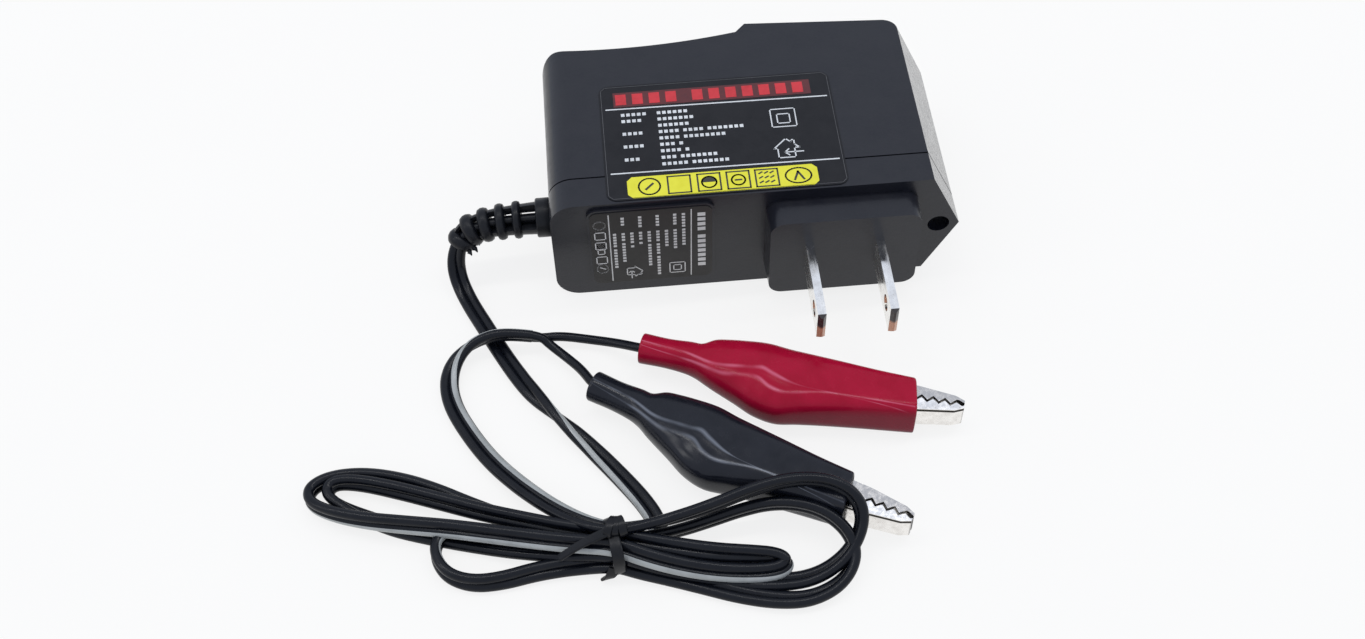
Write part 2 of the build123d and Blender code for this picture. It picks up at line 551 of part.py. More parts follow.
def lying_part(x, y, length, radius, lead_r=0.3):
    """An axial part on the board: a round body with a bent wire at each end."""
    z = BOARD_TOP + radius + 0.2
    body = rod((x - length / 2, y, z), (x + length / 2, y, z), radius)
    for side in (-1, 1):
        end = x + side * (length / 2 + 1.3)
        body += rod((x, y, z), (end + side * lead_r * 1.5, y, z), lead_r)
        body += rod((end, y, z), (end, y, BOARD_TOP), lead_r * 0.8)
    return body


def chip(x, y, length, width, height, pins):
    """A chip with a row of legs along each long side."""
    body = span((x - length / 2, x + length / 2), (y - width / 2, y + width / 2),
                (BOARD_TOP + 0.5, BOARD_TOP + 0.5 + height))
    pitch = 2.54
    for index in range(pins):
        leg_x = x + (index - (pins - 1) / 2) * pitch
        for side in (-1, 1):
            leg_y = y + side * (width / 2 + 0.3)
            body += span((leg_x - 0.4, leg_x + 0.4), (leg_y - 0.35, leg_y + 0.35), (BOARD_TOP, BOARD_TOP + 2.0))
    return body


def build_safety_capacitor():
    """A disc capacitor on edge, bridging the two sides of the board."""
    x, y, radius, half = 33.0, 34.2, 3.6, 1.3
    z = BOARD_TOP + 1.2 + radius
    disc = rod((x, y - half, z), (x, y + half, z), radius)
    for side in (-1, 1):
        disc += rod((x + side * 2.5, y, z), (x + side * 2.5, y, BOARD_TOP), 0.3)
    return disc


TRANSFORMER = (33.0, 23.6)
CORE_SIZE, CORE_LEG, WINDOW = (16.5, 6.0, 14.0), 4.6, (12.0, 9.6)
CORE_BASE = BOARD_TOP + 1.4


def build_core():
    """A ferrite frame with a middle leg, standing across the board."""
    x, y = TRANSFORMER
    half_x, half_y = CORE_SIZE[0] / 2, CORE_SIZE[1] / 2
    core = span((x - half_x, x + half_x), (y - half_y, y + half_y), (CORE_BASE, CORE_BASE + CORE_SIZE[2]))
    middle = CORE_BASE + CORE_SIZE[2] / 2
    core -= span((x - WINDOW[0] / 2, x + WINDOW[0] / 2), (y - half_y, y + half_y),
                 (middle - WINDOW[1] / 2, middle + WINDOW[1] / 2))
    half_leg = CORE_LEG / 2
    core += span((x - half_leg, x + half_leg), (y - half_y, y + half_y),
                 (middle - WINDOW[1] / 2, middle + WINDOW[1] / 2))
    return core


def bobbin_box(margin, z_from, z_to):
    x, y = TRANSFORMER
    return span((x - CORE_LEG / 2 - margin, x + CORE_LEG / 2 + margin),
                (y - CORE_SIZE[1] / 2 - margin, y + CORE_SIZE[1] / 2 + margin), (z_from, z_to))


def build_bobbin():
    """Spool about the core's middle leg, on a foot with pins."""
    middle = CORE_BASE + CORE_SIZE[2] / 2
    low, high = middle - WINDOW[1] / 2, middle + WINDOW[1] / 2
    spool = bobbin_box(0.7, low, high)
    for z_from, z_to in ((low, low + 0.7), (high - 0.7, high)):
        spool += bobbin_box(3.4, z_from, z_to)
    spool -= bobbin_box(0, low - 1, high + 1)
    x, y = TRANSFORMER
    for side in (-1, 1):
        shelf_y = y + side * (CORE_SIZE[1] / 2 + 2.0)
        spool += span((x - 7.0, x + 7.0), (shelf_y - 1.9, shelf_y + 1.9), (BOARD_TOP + 0.4, low + 0.7))
        for index in range(4):
            pin_x = x + (index - 1.5) * 3.8
            spool += rod((pin_x, shelf_y, BOARD_TOP), (pin_x, shelf_y, low), 0.35)
    return spool


def build_winding():
    middle = CORE_BASE + CORE_SIZE[2] / 2
    low, high = middle - WINDOW[1] / 2 + 0.7, middle + WINDOW[1] / 2 - 0.7
    wound = bobbin_box(2.9, low, high)
    wound = fillet(wound.edges().filter_by(Axis.Z), 1.6)
    return wound - bobbin_box(0.7, low - 1, high + 1)


def build_led():
    """An indicator lamp in the back wall, on two bent wires."""
    wall_y = HUMP_DEPTH + (RIGHT_DEPTH - HUMP_DEPTH) * (LED_X - HUMP_X) / (CASE_LENGTH - HUMP_X)
    tip_y = wall_y + LED_PROUD
    lamp = rod((LED_X, tip_y - 4.8, MID_Z), (LED_X, tip_y - LED_R, MID_Z), LED_R)
    lamp += Pos(LED_X, tip_y - LED_R, MID_Z) * Sphere(LED_R)
    lamp += rod((LED_X, tip_y - 4.8, MID_Z), (LED_X, tip_y - 3.8, MID_Z), LED_R + 0.35)
    for side in (-1, 1):
        x = LED_X + side * 0.8
        lamp += rod((x, tip_y - 4.4, MID_Z), (x, BOARD_Y[1] - 1.5, MID_Z), 0.25)
        lamp += rod((x, BOARD_Y[1] - 1.4, MID_Z + 0.25), (x, BOARD_Y[1] - 1.4, BOARD_TOP), 0.25)
    return lamp


def build_input_wires():
    """Two wires from the blades' roots to the board's edge."""
    wires = []
    for side in (-1, 1):
        x = blade_x(side)
        root = FACE_Y + BLADE_ROOT
        end_x = x - side * 1.5
        route = [(x, root, MID_Z + 2), (x, root + 3.4, MID_Z + 2), (end_x, root + 8.8, MID_Z - 0.5),
                 (end_x, root + 8.8, BOARD_TOP)]
        wires.append(tube(f"input wire {side:+d}", route, 0.6))
    return Compound(children=wires)


def build_output_wires():
    """The cord's two cores inside the case, from the strain relief to the board."""
    wires = []
    for side in (-1, 1):
        start_x = WALL + FLANGE_THICK
        y = OUTLET.Y + side * 0.9
        end_x, end_y = start_x + 7.6, y + side + 3.2
        route = [(start_x, y, OUTLET.Z), (start_x + 3.6, y, OUTLET.Z), (end_x, end_y, BOARD_TOP + 3.6),
                 (end_x, end_y, BOARD_TOP)]
        wires.append(tube(f"output wire {side:+d}", route, LEAD_R - 0.05))
    return Compound(children=wires)


# ---------------------------------------------------------------- write every node
def main():
    write("front_case", build_front_case())
    write("rear_case", build_rear_case())
    write("case_screw", build_screw())
    write("left_blade", build_blade(-1))
    write("right_blade", build_blade(1))
    write("blade_carrier", build_blade_carrier())
    write("main_label", build_main_label())
    write("rating_label", build_rating_label())

    write("circuit_board", build_board())
    write("transformer_core", build_core())
    write("transformer_bobbin", build_bobbin())
    write("transformer_winding", build_winding())
    write("input_capacitors", Compound(children=[
        standing_can(49.0, 16.4, 4.0, 13.0), standing_can(57.2, 18.0, 4.0, 13.0)]))
    write("output_capacitor", standing_can(16.6, 28.6, 4.0, 14.0))
    write("fusible_resistor", lying_part(54.0, 29.6, 7.0, 1.6))
    write("rectifier_diodes", Compound(children=[
        lying_part(x, y, 4.0, 1.2) for x in (44.6, 52.4) for y in (32.6, 35.4)]))
    write("output_diode", lying_part(17.0, 19.2, 7.5, 2.3))
    write("safety_capacitor", build_safety_capacitor())
    write("control_chip", chip(47.6, 24.2, 9.6, 5.6, 3.3, 4))
    write("optocoupler", chip(33.0, 12.6, 5.0, 5.0, 3.3, 2))
    write("led_lamp", build_led())
    write("input_wires", build_input_wires())
    write("output_wires", build_output_wires())

    write("strain_relief", build_strain_relief())
    tie = build_tie()
    hank = build_hank(tie)
    write("hank_tie", tie)
    write("cord_hank", hank)
    write("cord_lead", tube("cord_lead", CORD_LEAD_ROUTE, TWIN_R) - hank)
    write("cord_loop", tube("cord_loop", CORD_LOOP_ROUTE, TWIN_R) - hank - tie)

    split_from, split_end = [Vector(*p) for p in CORD_LOOP_ROUTE[-2:]]
    direction = (split_end - split_from).normalized()
    sideways = Vector(-direction.Y, direction.X, 0) * (LEAD_R + 0.02)
    for colour, side, middle in (("red", 1, RED_LEAD_ROUTE), ("black", -1, BLACK_LEAD_ROUTE)):
        route = lead_route(colour, split_end + sideways * side, direction, middle)
        write(f"{colour}_lead", tube(f"{colour}_lead", route, LEAD_R))
        write(f"{colour}_boot", clip_frame(colour, metal=False) * build_boot())
        metal = clip_frame(colour)
        write(f"{colour}_fixed_jaw", metal * build_fixed_jaw())
        write(f"{colour}_moving_jaw", metal * build_moving_jaw())
        write(f"{colour}_pivot_pin", metal * build_pin())
        write(f"{colour}_spring", metal * build_spring())
        pivot = metal.position - ORIGIN
        print(f"{colour} pivot: {pivot.X:.3f}, {pivot.Y:.3f}")


main()
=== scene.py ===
import json
import math

import bmesh
import bpy
from mathutils import Matrix, Vector


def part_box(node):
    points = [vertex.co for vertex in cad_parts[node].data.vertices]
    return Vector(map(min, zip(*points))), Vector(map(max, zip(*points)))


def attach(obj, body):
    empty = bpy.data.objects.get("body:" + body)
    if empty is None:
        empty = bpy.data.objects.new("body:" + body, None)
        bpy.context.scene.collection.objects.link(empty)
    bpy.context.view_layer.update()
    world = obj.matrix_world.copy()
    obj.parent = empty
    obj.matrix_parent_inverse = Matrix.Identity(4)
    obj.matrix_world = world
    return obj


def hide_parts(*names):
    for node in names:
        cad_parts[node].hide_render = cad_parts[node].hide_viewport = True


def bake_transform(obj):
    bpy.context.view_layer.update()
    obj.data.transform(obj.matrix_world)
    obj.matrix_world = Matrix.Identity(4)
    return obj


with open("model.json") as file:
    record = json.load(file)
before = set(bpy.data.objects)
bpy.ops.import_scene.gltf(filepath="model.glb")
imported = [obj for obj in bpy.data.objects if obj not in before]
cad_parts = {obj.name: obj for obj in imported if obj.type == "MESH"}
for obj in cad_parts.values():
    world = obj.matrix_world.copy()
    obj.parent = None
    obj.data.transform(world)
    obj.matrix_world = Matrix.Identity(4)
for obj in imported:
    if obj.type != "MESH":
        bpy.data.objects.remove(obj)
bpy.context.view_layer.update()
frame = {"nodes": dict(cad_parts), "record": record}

# Plug-in battery charger with a tied-up cord and two booted clips.
# The scene is in metres. Routes are laid out in millimetres from the case's left, wall-side,
# bottom corner, as in the CAD source; placed() moves them to the row frame, in metres.

MM, UM = 0.001, 0.000001
CORNER = Vector((0.0371, 0.0110, 0.0))
UP = Vector((0, 0, 1))
COLOURS = ("red", "black")


def placed(x, y, z):
    return Vector((x, y, z)) * MM - CORNER


def added(name, data):
    """A new object in the scene that holds the data."""
    thing = bpy.data.objects.new(name, data)
    bpy.context.collection.objects.link(thing)
    return thing


# ======== camera
CAMERA_AT = (-0.026495, -0.196539, 0.232951)
CAMERA_YAW = math.radians(3.856)
CAMERA_DOWN = math.radians(52.646)
CAMERA_ROLL = math.radians(-1.484)
CAMERA_LENS = 41.90


def make_camera():
    data = bpy.data.cameras.new("camera")
    data.lens = CAMERA_LENS
    data.sensor_width = 36.0
    data.clip_start, data.clip_end = 0.01, 10.0
    camera = added("camera", data)
    camera.matrix_world = (Matrix.Translation(CAMERA_AT)
                           @ Matrix.Rotation(-CAMERA_YAW, 4, "Z")
                           @ Matrix.Rotation(math.pi / 2 - CAMERA_DOWN, 4, "X")
                           @ Matrix.Rotation(CAMERA_ROLL, 4, "Z"))
    bpy.context.scene.camera = camera


# ======== cord routes
# Twin cord from the strain relief to the split: place of the ribbon's middle, and how far it
# leans in degrees. At 0 it lies flat with its striped core on the right; at 90 it stands on
# edge with that core on top.
TWIN_ROUTE = [
    # out of the relief and down to the table, turning over on the way to the hank
    (-14.8, 8.3, 10.9, 180), (-16.6, 7.7, 9.4, 180), (-17.7, 6.9, 7.7, 180), (-18.3, 6, 6, 180),
    (-18.5, 5.1, 4.3, 180), (-18.3, 3.8, 2.9, 180), (-17.7, 2, 1.8, 180), (-16.8, -0.2, 1.2, 180),
    (-15.7, -2.7, 1, 180), (-14.4, -5.4, 0.9, 180), (-12.8, -8.8, 0.9, 180),
    (-11, -12.6, 0.9, 180), (-8.8, -17, 1, 172), (-6, -22.2, 1.4, 150), (-2.4, -27.2, 1.8, 85),
    (1.8, -32.2, 1.5, 30), (6, -37.4, 1, 0), (9.8, -42.7, 1.1, -15), (12.7, -47.2, 1.3, -25),
    (14.5, -51, 1.3, -25), (14.8, -54.4, 1.1, -15), (13.6, -56.8, 0.9, 0), (11.2, -57.4, 0.9, 0),
    # under the strap to the small left loop
    (7.2, -56.8, 0.9, 0), (-1, -55, 1.2, 20), (-9, -52.8, 1.6, 50), (-15.5, -50.8, 1.8, 80),
    (-20.2, -50, 1.8, 90), (-22.4, -52, 1.8, 90), (-22.2, -55.2, 1.8, 95),
    (-20.2, -58.3, 1.8, 100), (-16.3, -60, 1.7, 110), (-11.4, -59.9, 1.7, 120),
    (-5.6, -58.6, 1.6, 130), (0.3, -58.1, 1.6, 145),
    # through the strap to the lower right loop, and back against the black clip
    (7.2, -58.4, 2, 160), (11, -59.9, 1.6, 168), (15.5, -61.3, 1.2, 175), (21, -63.3, 1, 180),
    (26.6, -65.6, 1, 188), (32.5, -67.3, 1.1, 195), (37.8, -67.8, 1.3, 205),
    (42.4, -66.2, 1.5, 220), (45.5, -63.4, 2, 245), (46.5, -60.3, 3, 265),
    (45.2, -57.2, 4.6, 274), (42.1, -54.5, 5.8, 278), (38, -52.8, 6.2, 280),
    (33.3, -51.9, 5.7, 280), (28.5, -52, 4.4, 280), (23.6, -52.7, 3.1, 280),
    (18.6, -53.6, 2.3, 282), (13, -54.5, 2.3, 285),
    # through the strap to the outer left loop
    (7.2, -54.6, 2.4, 280), (-1, -52.6, 2.4, 275), (-8.6, -49.5, 2.4, 270),
    (-16.5, -45.2, 2.2, 270), (-22.2, -41.7, 1.9, 270), (-28, -39, 1.8, 270),
    (-34.4, -37.3, 1.8, 270), (-40.3, -37.4, 1.8, 270), (-43.8, -39.4, 1.9, 270),
    (-43.6, -42.4, 2.2, 270), (-40, -45.1, 2.9, 275), (-34.2, -47.4, 3.5, 285),
    (-27, -49.1, 3.8, 298), (-20, -50.6, 4, 305), (-13, -52.5, 4.4, 310), (-6, -54.5, 4.9, 315),
    (0.5, -56.1, 5.2, 318),
    # through the strap to the tight right loop
    (7.2, -57.3, 5.4, 320), (12.4, -59.7, 4.8, 320), (18, -61.3, 3.7, 320), (23.6, -62.4, 3, 318),
    (29.4, -63, 2.7, 316), (33.6, -62.8, 2.5, 308), (35.4, -61.5, 2.8, 290),
    (33.7, -60.4, 3.4, 266), (28.8, -60, 3.9, 244), (23.2, -59.4, 4.3, 232),
    (17.6, -58.2, 4.7, 228), (12.4, -56.7, 4.7, 232),
    # through the strap to the inner left loop, which ends under the outer one
    (7.2, -54.6, 4.1, 245), (-1, -52.4, 3.9, 240), (-7.8, -50, 3.6, 240),
    (-14.8, -47.4, 3.2, 240), (-21.8, -44.4, 2.9, 240), (-29, -41.4, 2.6, 245),
    (-35.4, -39.1, 2.3, 255), (-39.8, -38.5, 2, 265), (-41, -40.6, 1.8, 265),
    (-38.5, -43, 1.7, 245), (-34.2, -45.6, 1.4, 215), (-29, -48.1, 1.1, 190),
    (-23, -50, 0.9, 180), (-16.6, -52, 1, 180), (-9.8, -54.1, 1.5, 180), (-2.7, -56, 2.5, 180),
    # through the strap to the large right loop, and back over the black clip
    (7.2, -57.4, 3.7, 180), (12.4, -59.3, 2.7, 180), (18.7, -61.2, 1.6, 180), (26, -63, 1, 185),
    (32.8, -64.2, 1.1, 190), (38.7, -64.1, 1.2, 200), (43.6, -62.1, 2.1, 215),
    (46.8, -59.2, 3.8, 235), (48.2, -56.2, 6, 255), (47.2, -53.6, 8.3, 268),
    (44.2, -51.7, 9.9, 276), (40, -50.6, 10.3, 279), (35.2, -50.4, 9.9, 279),
    (29.9, -50.9, 8.6, 279), (24, -52.2, 7.1, 280), (18, -53.3, 6.2, 286),
    (12.4, -54.1, 5.7, 300),
    # out of the strap, round in a wide loop and over the first stretch to the split
    (7.2, -54.4, 5.6, 318), (2.4, -52.1, 4.8, 335), (-2.4, -48.2, 3.4, 350),
    (-7.8, -42.6, 2, 360), (-12.9, -36.4, 1.1, 360), (-16.9, -29.8, 0.9, 360),
    (-19.7, -23.8, 1, 360), (-20.4, -18.6, 1.2, 366), (-19, -14.5, 1.9, 392),
    (-15.8, -12, 3, 422), (-12, -11.2, 3.8, 432), (-8.2, -11.3, 3.7, 432), (-5, -11.6, 3.1, 430),
]
CORE_R = 0.00091
CORE_OUT = 0.00079          # from the ribbon's middle to the middle of each core
LEAD_R = 0.00085
STEPS_PER_SPAN, LEAD_STEPS_PER_SPAN = 9, 10

# Leads from the split to the collars of the clips.
LEAD_ROUTES = {
    "red": [(0, -11.3, 2.2), (6.0, -12.4, 1.6), (10.3, -14.3, 2.6)],
    "black": [(-1.8, -13.4, 2.4), (1.2, -16.3, 1.9), (3.6, -19.6, 2.6)],
}


def nurbs(name, route, steps):
    """Curve data for the NURBS line whose control points are the route's."""
    data = bpy.data.curves.new(name, "CURVE")
    data.dimensions = "3D"
    spline = data.splines.new("NURBS")
    spline.points.add(len(route) - 1)
    for point, place in zip(spline.points, route):
        point.co = (*place, 1)
    spline.order_u = 3
    spline.use_endpoint_u = True
    spline.resolution_u = steps
    return data


def smooth_line(route, steps=STEPS_PER_SPAN):
    """Points along the NURBS line of a route."""
    data = nurbs("line", route, steps)
    holder = bpy.data.objects.new("line", data)
    mesh = bpy.data.meshes.new_from_object(holder)
    points = [vertex.co.copy() for vertex in mesh.vertices]
    bpy.data.objects.remove(holder)
    bpy.data.curves.remove(data)
    bpy.data.meshes.remove(mesh)
    return points


def along_route(values, count):
    """One value per line point, from one value per control point of its route."""
    last = len(values) - 2
    places = [0.0] + [index + 0.5 for index in range(last)] + [float(last)]
    found, span = [], 0
    for index in range(count):
        at = last * index / (count - 1)
        while places[span + 1] < at and span < len(places) - 2:
            span += 1
        share = (at - places[span]) / (places[span + 1] - places[span])
        found.append(values[span] + (values[span + 1] - values[span]) * share)
    return found


def tangents(points):
    ends = [points[0]] + points + [points[-1]]
    return [(ends[i + 2] - ends[i]).normalized() for i in range(len(points))]


def length_of(points):
    return sum((b - a).length for a, b in zip(points, points[1:]))


def leaning(points, leans):
    """For each point of a ribbon's line, the ways its width and its thickness point."""
    found = []
    for ahead, lean in zip(tangents(points), leans):
        rise = (UP - ahead * ahead.dot(UP)).normalized()
        right = ahead.cross(rise)
        turn = math.radians(lean)
        found.append((right * math.cos(turn) + rise * math.sin(turn),
                      rise * math.cos(turn) - right * math.sin(turn)))
    return found


# ======== mesh helpers
class Shell:
    """Collects rings of points and the faces between them."""

    def __init__(self):
        self.vertices, self.faces, self.paints = [], [], []

    def tube(self, rings, paints=None, loop=False):
        """Skin over a row of rings, capped at both ends unless it loops back to its start."""
        count, rows = len(rings[0]), len(rings)
        first = len(self.vertices)
        for ring in rings:
            self.vertices += ring
        for row in range(rows if loop else rows - 1):
            here, after = first + row * count, first + (row + 1) % rows * count
            for k in range(count):
                j = (k + 1) % count
                self.faces.append((here + k, here + j, after + j, after + k))
                self.paints.append(paints[k] if paints else 0)
        if not loop:
            for start in (first, first + (rows - 1) * count):
                self.faces.append(tuple(range(start, start + count)))
                self.paints.append(0)

    def slab(self, outline, rise, paint=0):
        """A flat prism: the outline, and the same outline moved by the rise."""
        self.tube([outline, [corner + rise for corner in outline]])
        count = len(outline) + 2
        self.paints[-count:] = [paint] * count

    def piece(self, name, *materials, smooth_angle=40):
        mesh = bpy.data.meshes.new(name)
        mesh.from_pydata([tuple(v) for v in self.vertices], [], self.faces)
        for material in materials:
            mesh.materials.append(material)
        for polygon, paint in zip(mesh.polygons, self.paints):
            polygon.material_index = paint
            polygon.use_smooth = True
        edit = bmesh.new()
        edit.from_mesh(mesh)
        bmesh.ops.recalc_face_normals(edit, faces=edit.faces)
        edit.to_mesh(mesh)
        edit.free()
        mesh.set_sharp_from_angle(angle=math.radians(smooth_angle))
        return added(name, mesh)


def circle(middle, across, upward, radius, sides, radius_up=None):
    radius_up = radius if radius_up is None else radius_up
    angles = [math.tau * k / sides for k in range(sides)]
    return [middle + across * (radius * math.cos(angle)) + upward * (radius_up * math.sin(angle))
            for angle in angles]


# ======== materials
class Paint:
    """A procedural material round one Principled shader. Sizes are in metres."""

    def __init__(self, name, colour, roughness, metallic=0.0, specular=0.5):
        self.material = bpy.data.materials.new(name)
        self.material.use_nodes = True
        self.nodes = self.material.node_tree.nodes
        self.links = self.material.node_tree.links
        self.shader = self.nodes["Principled BSDF"]
        self.place = self.nodes.new("ShaderNodeTexCoord").outputs["Object"]
        self.colour = colour
        self.base = None
        self.set("Base Color", (*colour, 1))
        self.set("Roughness", roughness)
        self.set("Metallic", metallic)
        self.set("Specular IOR Level", specular)
        self.set("Coat Weight", 0.0)
        self.set("Coat Roughness", 0.08)

    def set(self, socket, value):
        self.shader.inputs[socket].default_value = value

    def link(self, value, socket):
        self.links.new(value, self.shader.inputs[socket])

    def noise(self, size, detail=3.0, stretch=(1, 1, 1)):
        mapping = self.nodes.new("ShaderNodeMapping")
        mapping.inputs["Scale"].default_value = stretch
        self.links.new(self.place, mapping.inputs["Vector"])
        noise = self.nodes.new("ShaderNodeTexNoise")
        noise.inputs["Scale"].default_value = 1 / size
        noise.inputs["Detail"].default_value = detail
        self.links.new(mapping.outputs["Vector"], noise.inputs["Vector"])
        return noise.outputs["Fac"]

    def normal(self):
        return self.nodes.new("ShaderNodeNewGeometry").outputs["Normal"]

    def part(self, vector, axis):
        parts = self.nodes.new("ShaderNodeSeparateXYZ")
        self.links.new(vector, parts.inputs["Vector"])
        return parts.outputs[axis]

    def where(self, axis):
        """The place on the mesh along an axis."""
        return self.part(self.place, axis)

    def facing(self, axis):
        """How far the surface faces along an axis, from -1 to 1."""
        return self.part(self.normal(), axis)

    def along(self, way, normal=False):
        """The place on the mesh, or the surface's normal, measured along a way."""
        dot = self.nodes.new("ShaderNodeVectorMath")
        dot.operation = "DOT_PRODUCT"
        dot.inputs[1].default_value = way
        self.links.new(self.normal() if normal else self.place, dot.inputs[0])
        return dot.outputs["Value"]

    def stored(self, name):
        """A number stored on the mesh's points."""
        attribute = self.nodes.new("ShaderNodeAttribute")
        attribute.attribute_name = name
        return attribute.outputs["Fac"]

    def level(self, value, low, high, at_low=0.35, at_high=0.65):
        """Runs from low to high as the value goes from at_low to at_high, and no further."""
        ramp = self.nodes.new("ShaderNodeMapRange")
        for socket, number in (("From Min", at_low), ("From Max", at_high),
                               ("To Min", low), ("To Max", high)):
            ramp.inputs[socket].default_value = number
        self.links.new(value, ramp.inputs["Value"])
        return ramp.outputs["Result"]

    def maths(self, operation, *values):
        """A math node on sockets and plain numbers."""
        node = self.nodes.new("ShaderNodeMath")
        node.operation = operation
        for socket, value in zip(node.inputs, values):
            if isinstance(value, bpy.types.NodeSocket):
                self.links.new(value, socket)
            else:
                socket.default_value = value
        return node.outputs["Value"]

    def away(self, value, middle):
        """How far a value is from a middle one, either way."""
        return self.maths("ABSOLUTE", self.maths("SUBTRACT", value, middle))

    def times(self, first, *others):
        for other in others:
            first = self.maths("MULTIPLY", first, other)
        return first

    def tint(self, factor, colour):
        """Fades the base colour to another one by a factor from 0 to 1."""
        mix = self.nodes.new("ShaderNodeMix")
        mix.data_type = "RGBA"
        mix.clamp_factor = True
        self.links.new(factor, mix.inputs["Factor"])
        if self.base is None:
            mix.inputs["A"].default_value = (*self.colour, 1)
        else:
            self.links.new(self.base, mix.inputs["A"])
        mix.inputs["B"].default_value = (*colour, 1)
        self.base = mix.outputs["Result"]
        self.link(self.base, "Base Color")

    def bump(self, height, depth, coat=False):
        """Adds relief to the surface, and to the coat over it as well if asked."""
        bump = self.nodes.new("ShaderNodeBump")
        bump.inputs["Distance"].default_value = depth
        bump.inputs["Strength"].default_value = 1.0
        self.links.new(height, bump.inputs["Height"])
        previous = self.shader.inputs["Normal"].links
        if previous:
            self.links.new(previous[0].from_socket, bump.inputs["Normal"])
        self.link(bump.outputs["Normal"], "Normal")
        if coat:
            self.link(bump.outputs["Normal"], "Coat Normal")


def moulded(name, colour, lighter, roughness, grain_mm, depth_um, specular=0.5):
    """Moulded plastic: fine spark texture, soft mottling and slightly uneven gloss."""
    grain = grain_mm * MM
    paint = Paint(name, colour, roughness, specular=specular)
    paint.tint(paint.level(paint.noise(0.006), 0, 0.7), lighter)
    paint.tint(paint.level(paint.noise(grain * 1.6, 2), 0, 0.5), lighter)
    paint.link(paint.level(paint.noise(0.003), roughness - 0.06, roughness + 0.08), "Roughness")
    paint.bump(paint.noise(grain, 2), depth_um * UM)
    return paint


def soft_pvc(name, colour, lighter, roughness, specular=0.5):
    """Smooth flexible PVC: faint flow marks, dust specks and a slightly waxy gloss."""
    paint = Paint(name, colour, roughness, specular=specular)
    paint.tint(paint.level(paint.noise(0.004), 0, 0.8), lighter)
    paint.tint(paint.level(paint.noise(0.0005, 4), 0, 0.25, 0.62, 0.72), lighter)
    paint.link(paint.level(paint.noise(0.002), roughness - 0.04, roughness + 0.06), "Roughness")
    paint.bump(paint.noise(0.0030, 1), 4 * UM)
    paint.bump(paint.noise(0.0004, 1), 0.6 * UM)
    return paint


def plated(name, colour, darker, roughness, stretch=(1, 1, 1), tarnish=0.6):
    """Plated metal: brushed grain, tarnish patches and small dark pits."""
    paint = Paint(name, colour, roughness, metallic=1.0)
    paint.tint(paint.level(paint.noise(0.0016, 4), 0, tarnish, 0.42, 0.7), darker)
    paint.tint(paint.level(paint.noise(0.0003, 3), 0, 0.7, 0.62, 0.7), darker)
    brushed = paint.noise(0.0007, 3, stretch)
    paint.link(paint.level(brushed, roughness - 0.08, roughness + 0.15), "Roughness")
    paint.bump(paint.noise(0.0002, 3, stretch), 8 * UM)
    return paint


# Colour, lighter colour, roughness, grain in mm, its depth in um, and specular if not 0.5.
MOULDED = (
    ("case_plastic", (0.0055, 0.0062, 0.0105), (0.009, 0.0095, 0.0135), 0.36, 0.3, 12, 0.16),
    ("relief_rubber", (0.003, 0.0036, 0.0055), (0.006, 0.0066, 0.009), 0.36, 0.4, 6, 0.22),
    ("tie_plastic", (0.003, 0.0034, 0.0048), (0.006, 0.0064, 0.0082), 0.33, 0.3, 6, 0.22),
    ("carrier_plastic", (0.014, 0.014, 0.018), (0.022, 0.022, 0.026), 0.5, 0.25, 10),
    ("label_film", (0.0045, 0.0045, 0.006), (0.008, 0.008, 0.01), 0.36, 0.6, 5, 0.24),
    ("rating_film", (0.012, 0.011, 0.01), (0.02, 0.018, 0.017), 0.42, 0.6, 5, 0.3),
    ("ink_white", (0.48, 0.49, 0.49), (0.62, 0.63, 0.63), 0.5, 0.5, 2),
    ("ink_grey", (0.44, 0.43, 0.42), (0.56, 0.55, 0.53), 0.5, 0.5, 2),
    ("ink_red", (0.42, 0.008, 0.014), (0.55, 0.02, 0.03), 0.45, 0.5, 2),
    ("ink_yellow", (0.6, 0.56, 0.01), (0.68, 0.65, 0.03), 0.45, 0.8, 2),
    ("ink_black", (0.012, 0.012, 0.01), (0.024, 0.024, 0.018), 0.5, 0.5, 2),
    ("ink_faint", (0.045, 0.045, 0.048), (0.075, 0.075, 0.078), 0.5, 0.5, 2),
    ("heading_ground", (0.06, 0.004, 0.006), (0.09, 0.006, 0.008), 0.45, 0.5, 2),
    ("ferrite", (0.03, 0.029, 0.029), (0.055, 0.053, 0.052), 0.7, 0.2, 20),
    ("bobbin_plastic", (0.012, 0.012, 0.012), (0.02, 0.02, 0.02), 0.4, 0.4, 10),
    ("board_laminate", (0.42, 0.3, 0.13), (0.52, 0.4, 0.2), 0.5, 0.4, 10),
    ("resistor_body", (0.16, 0.3, 0.33), (0.22, 0.38, 0.4), 0.5, 0.3, 10),
    ("diode_body", (0.012, 0.012, 0.013), (0.05, 0.05, 0.05), 0.4, 0.3, 10),
    ("disc_ceramic", (0.03, 0.1, 0.4), (0.05, 0.16, 0.52), 0.35, 0.4, 10),
    ("chip_resin", (0.012, 0.012, 0.012), (0.022, 0.022, 0.022), 0.6, 0.2, 10),
)
# Colour, lighter colour, roughness, and specular if not 0.5.
SOFT_PVC = (
    ("cord_black", (0.0026, 0.0034, 0.006), (0.0048, 0.0058, 0.0088), 0.27, 0.22),
    ("cord_stripe", (0.26, 0.27, 0.26), (0.35, 0.36, 0.35), 0.3),
    ("boot_red", (0.29, 0.003, 0.021), (0.34, 0.0045, 0.028), 0.22, 0.13),
    ("boot_black", (0.0055, 0.0065, 0.0105), (0.009, 0.01, 0.015), 0.22, 0.26),
    ("winding_tape", (0.7, 0.52, 0.03), (0.8, 0.66, 0.1), 0.25),
    ("capacitor_sleeve", (0.01, 0.012, 0.03), (0.022, 0.026, 0.05), 0.3),
    ("lamp_resin", (0.55, 0.6, 0.55), (0.7, 0.72, 0.68), 0.15),
    ("wire_pvc", (0.42, 0.02, 0.02), (0.5, 0.05, 0.05), 0.35),
)
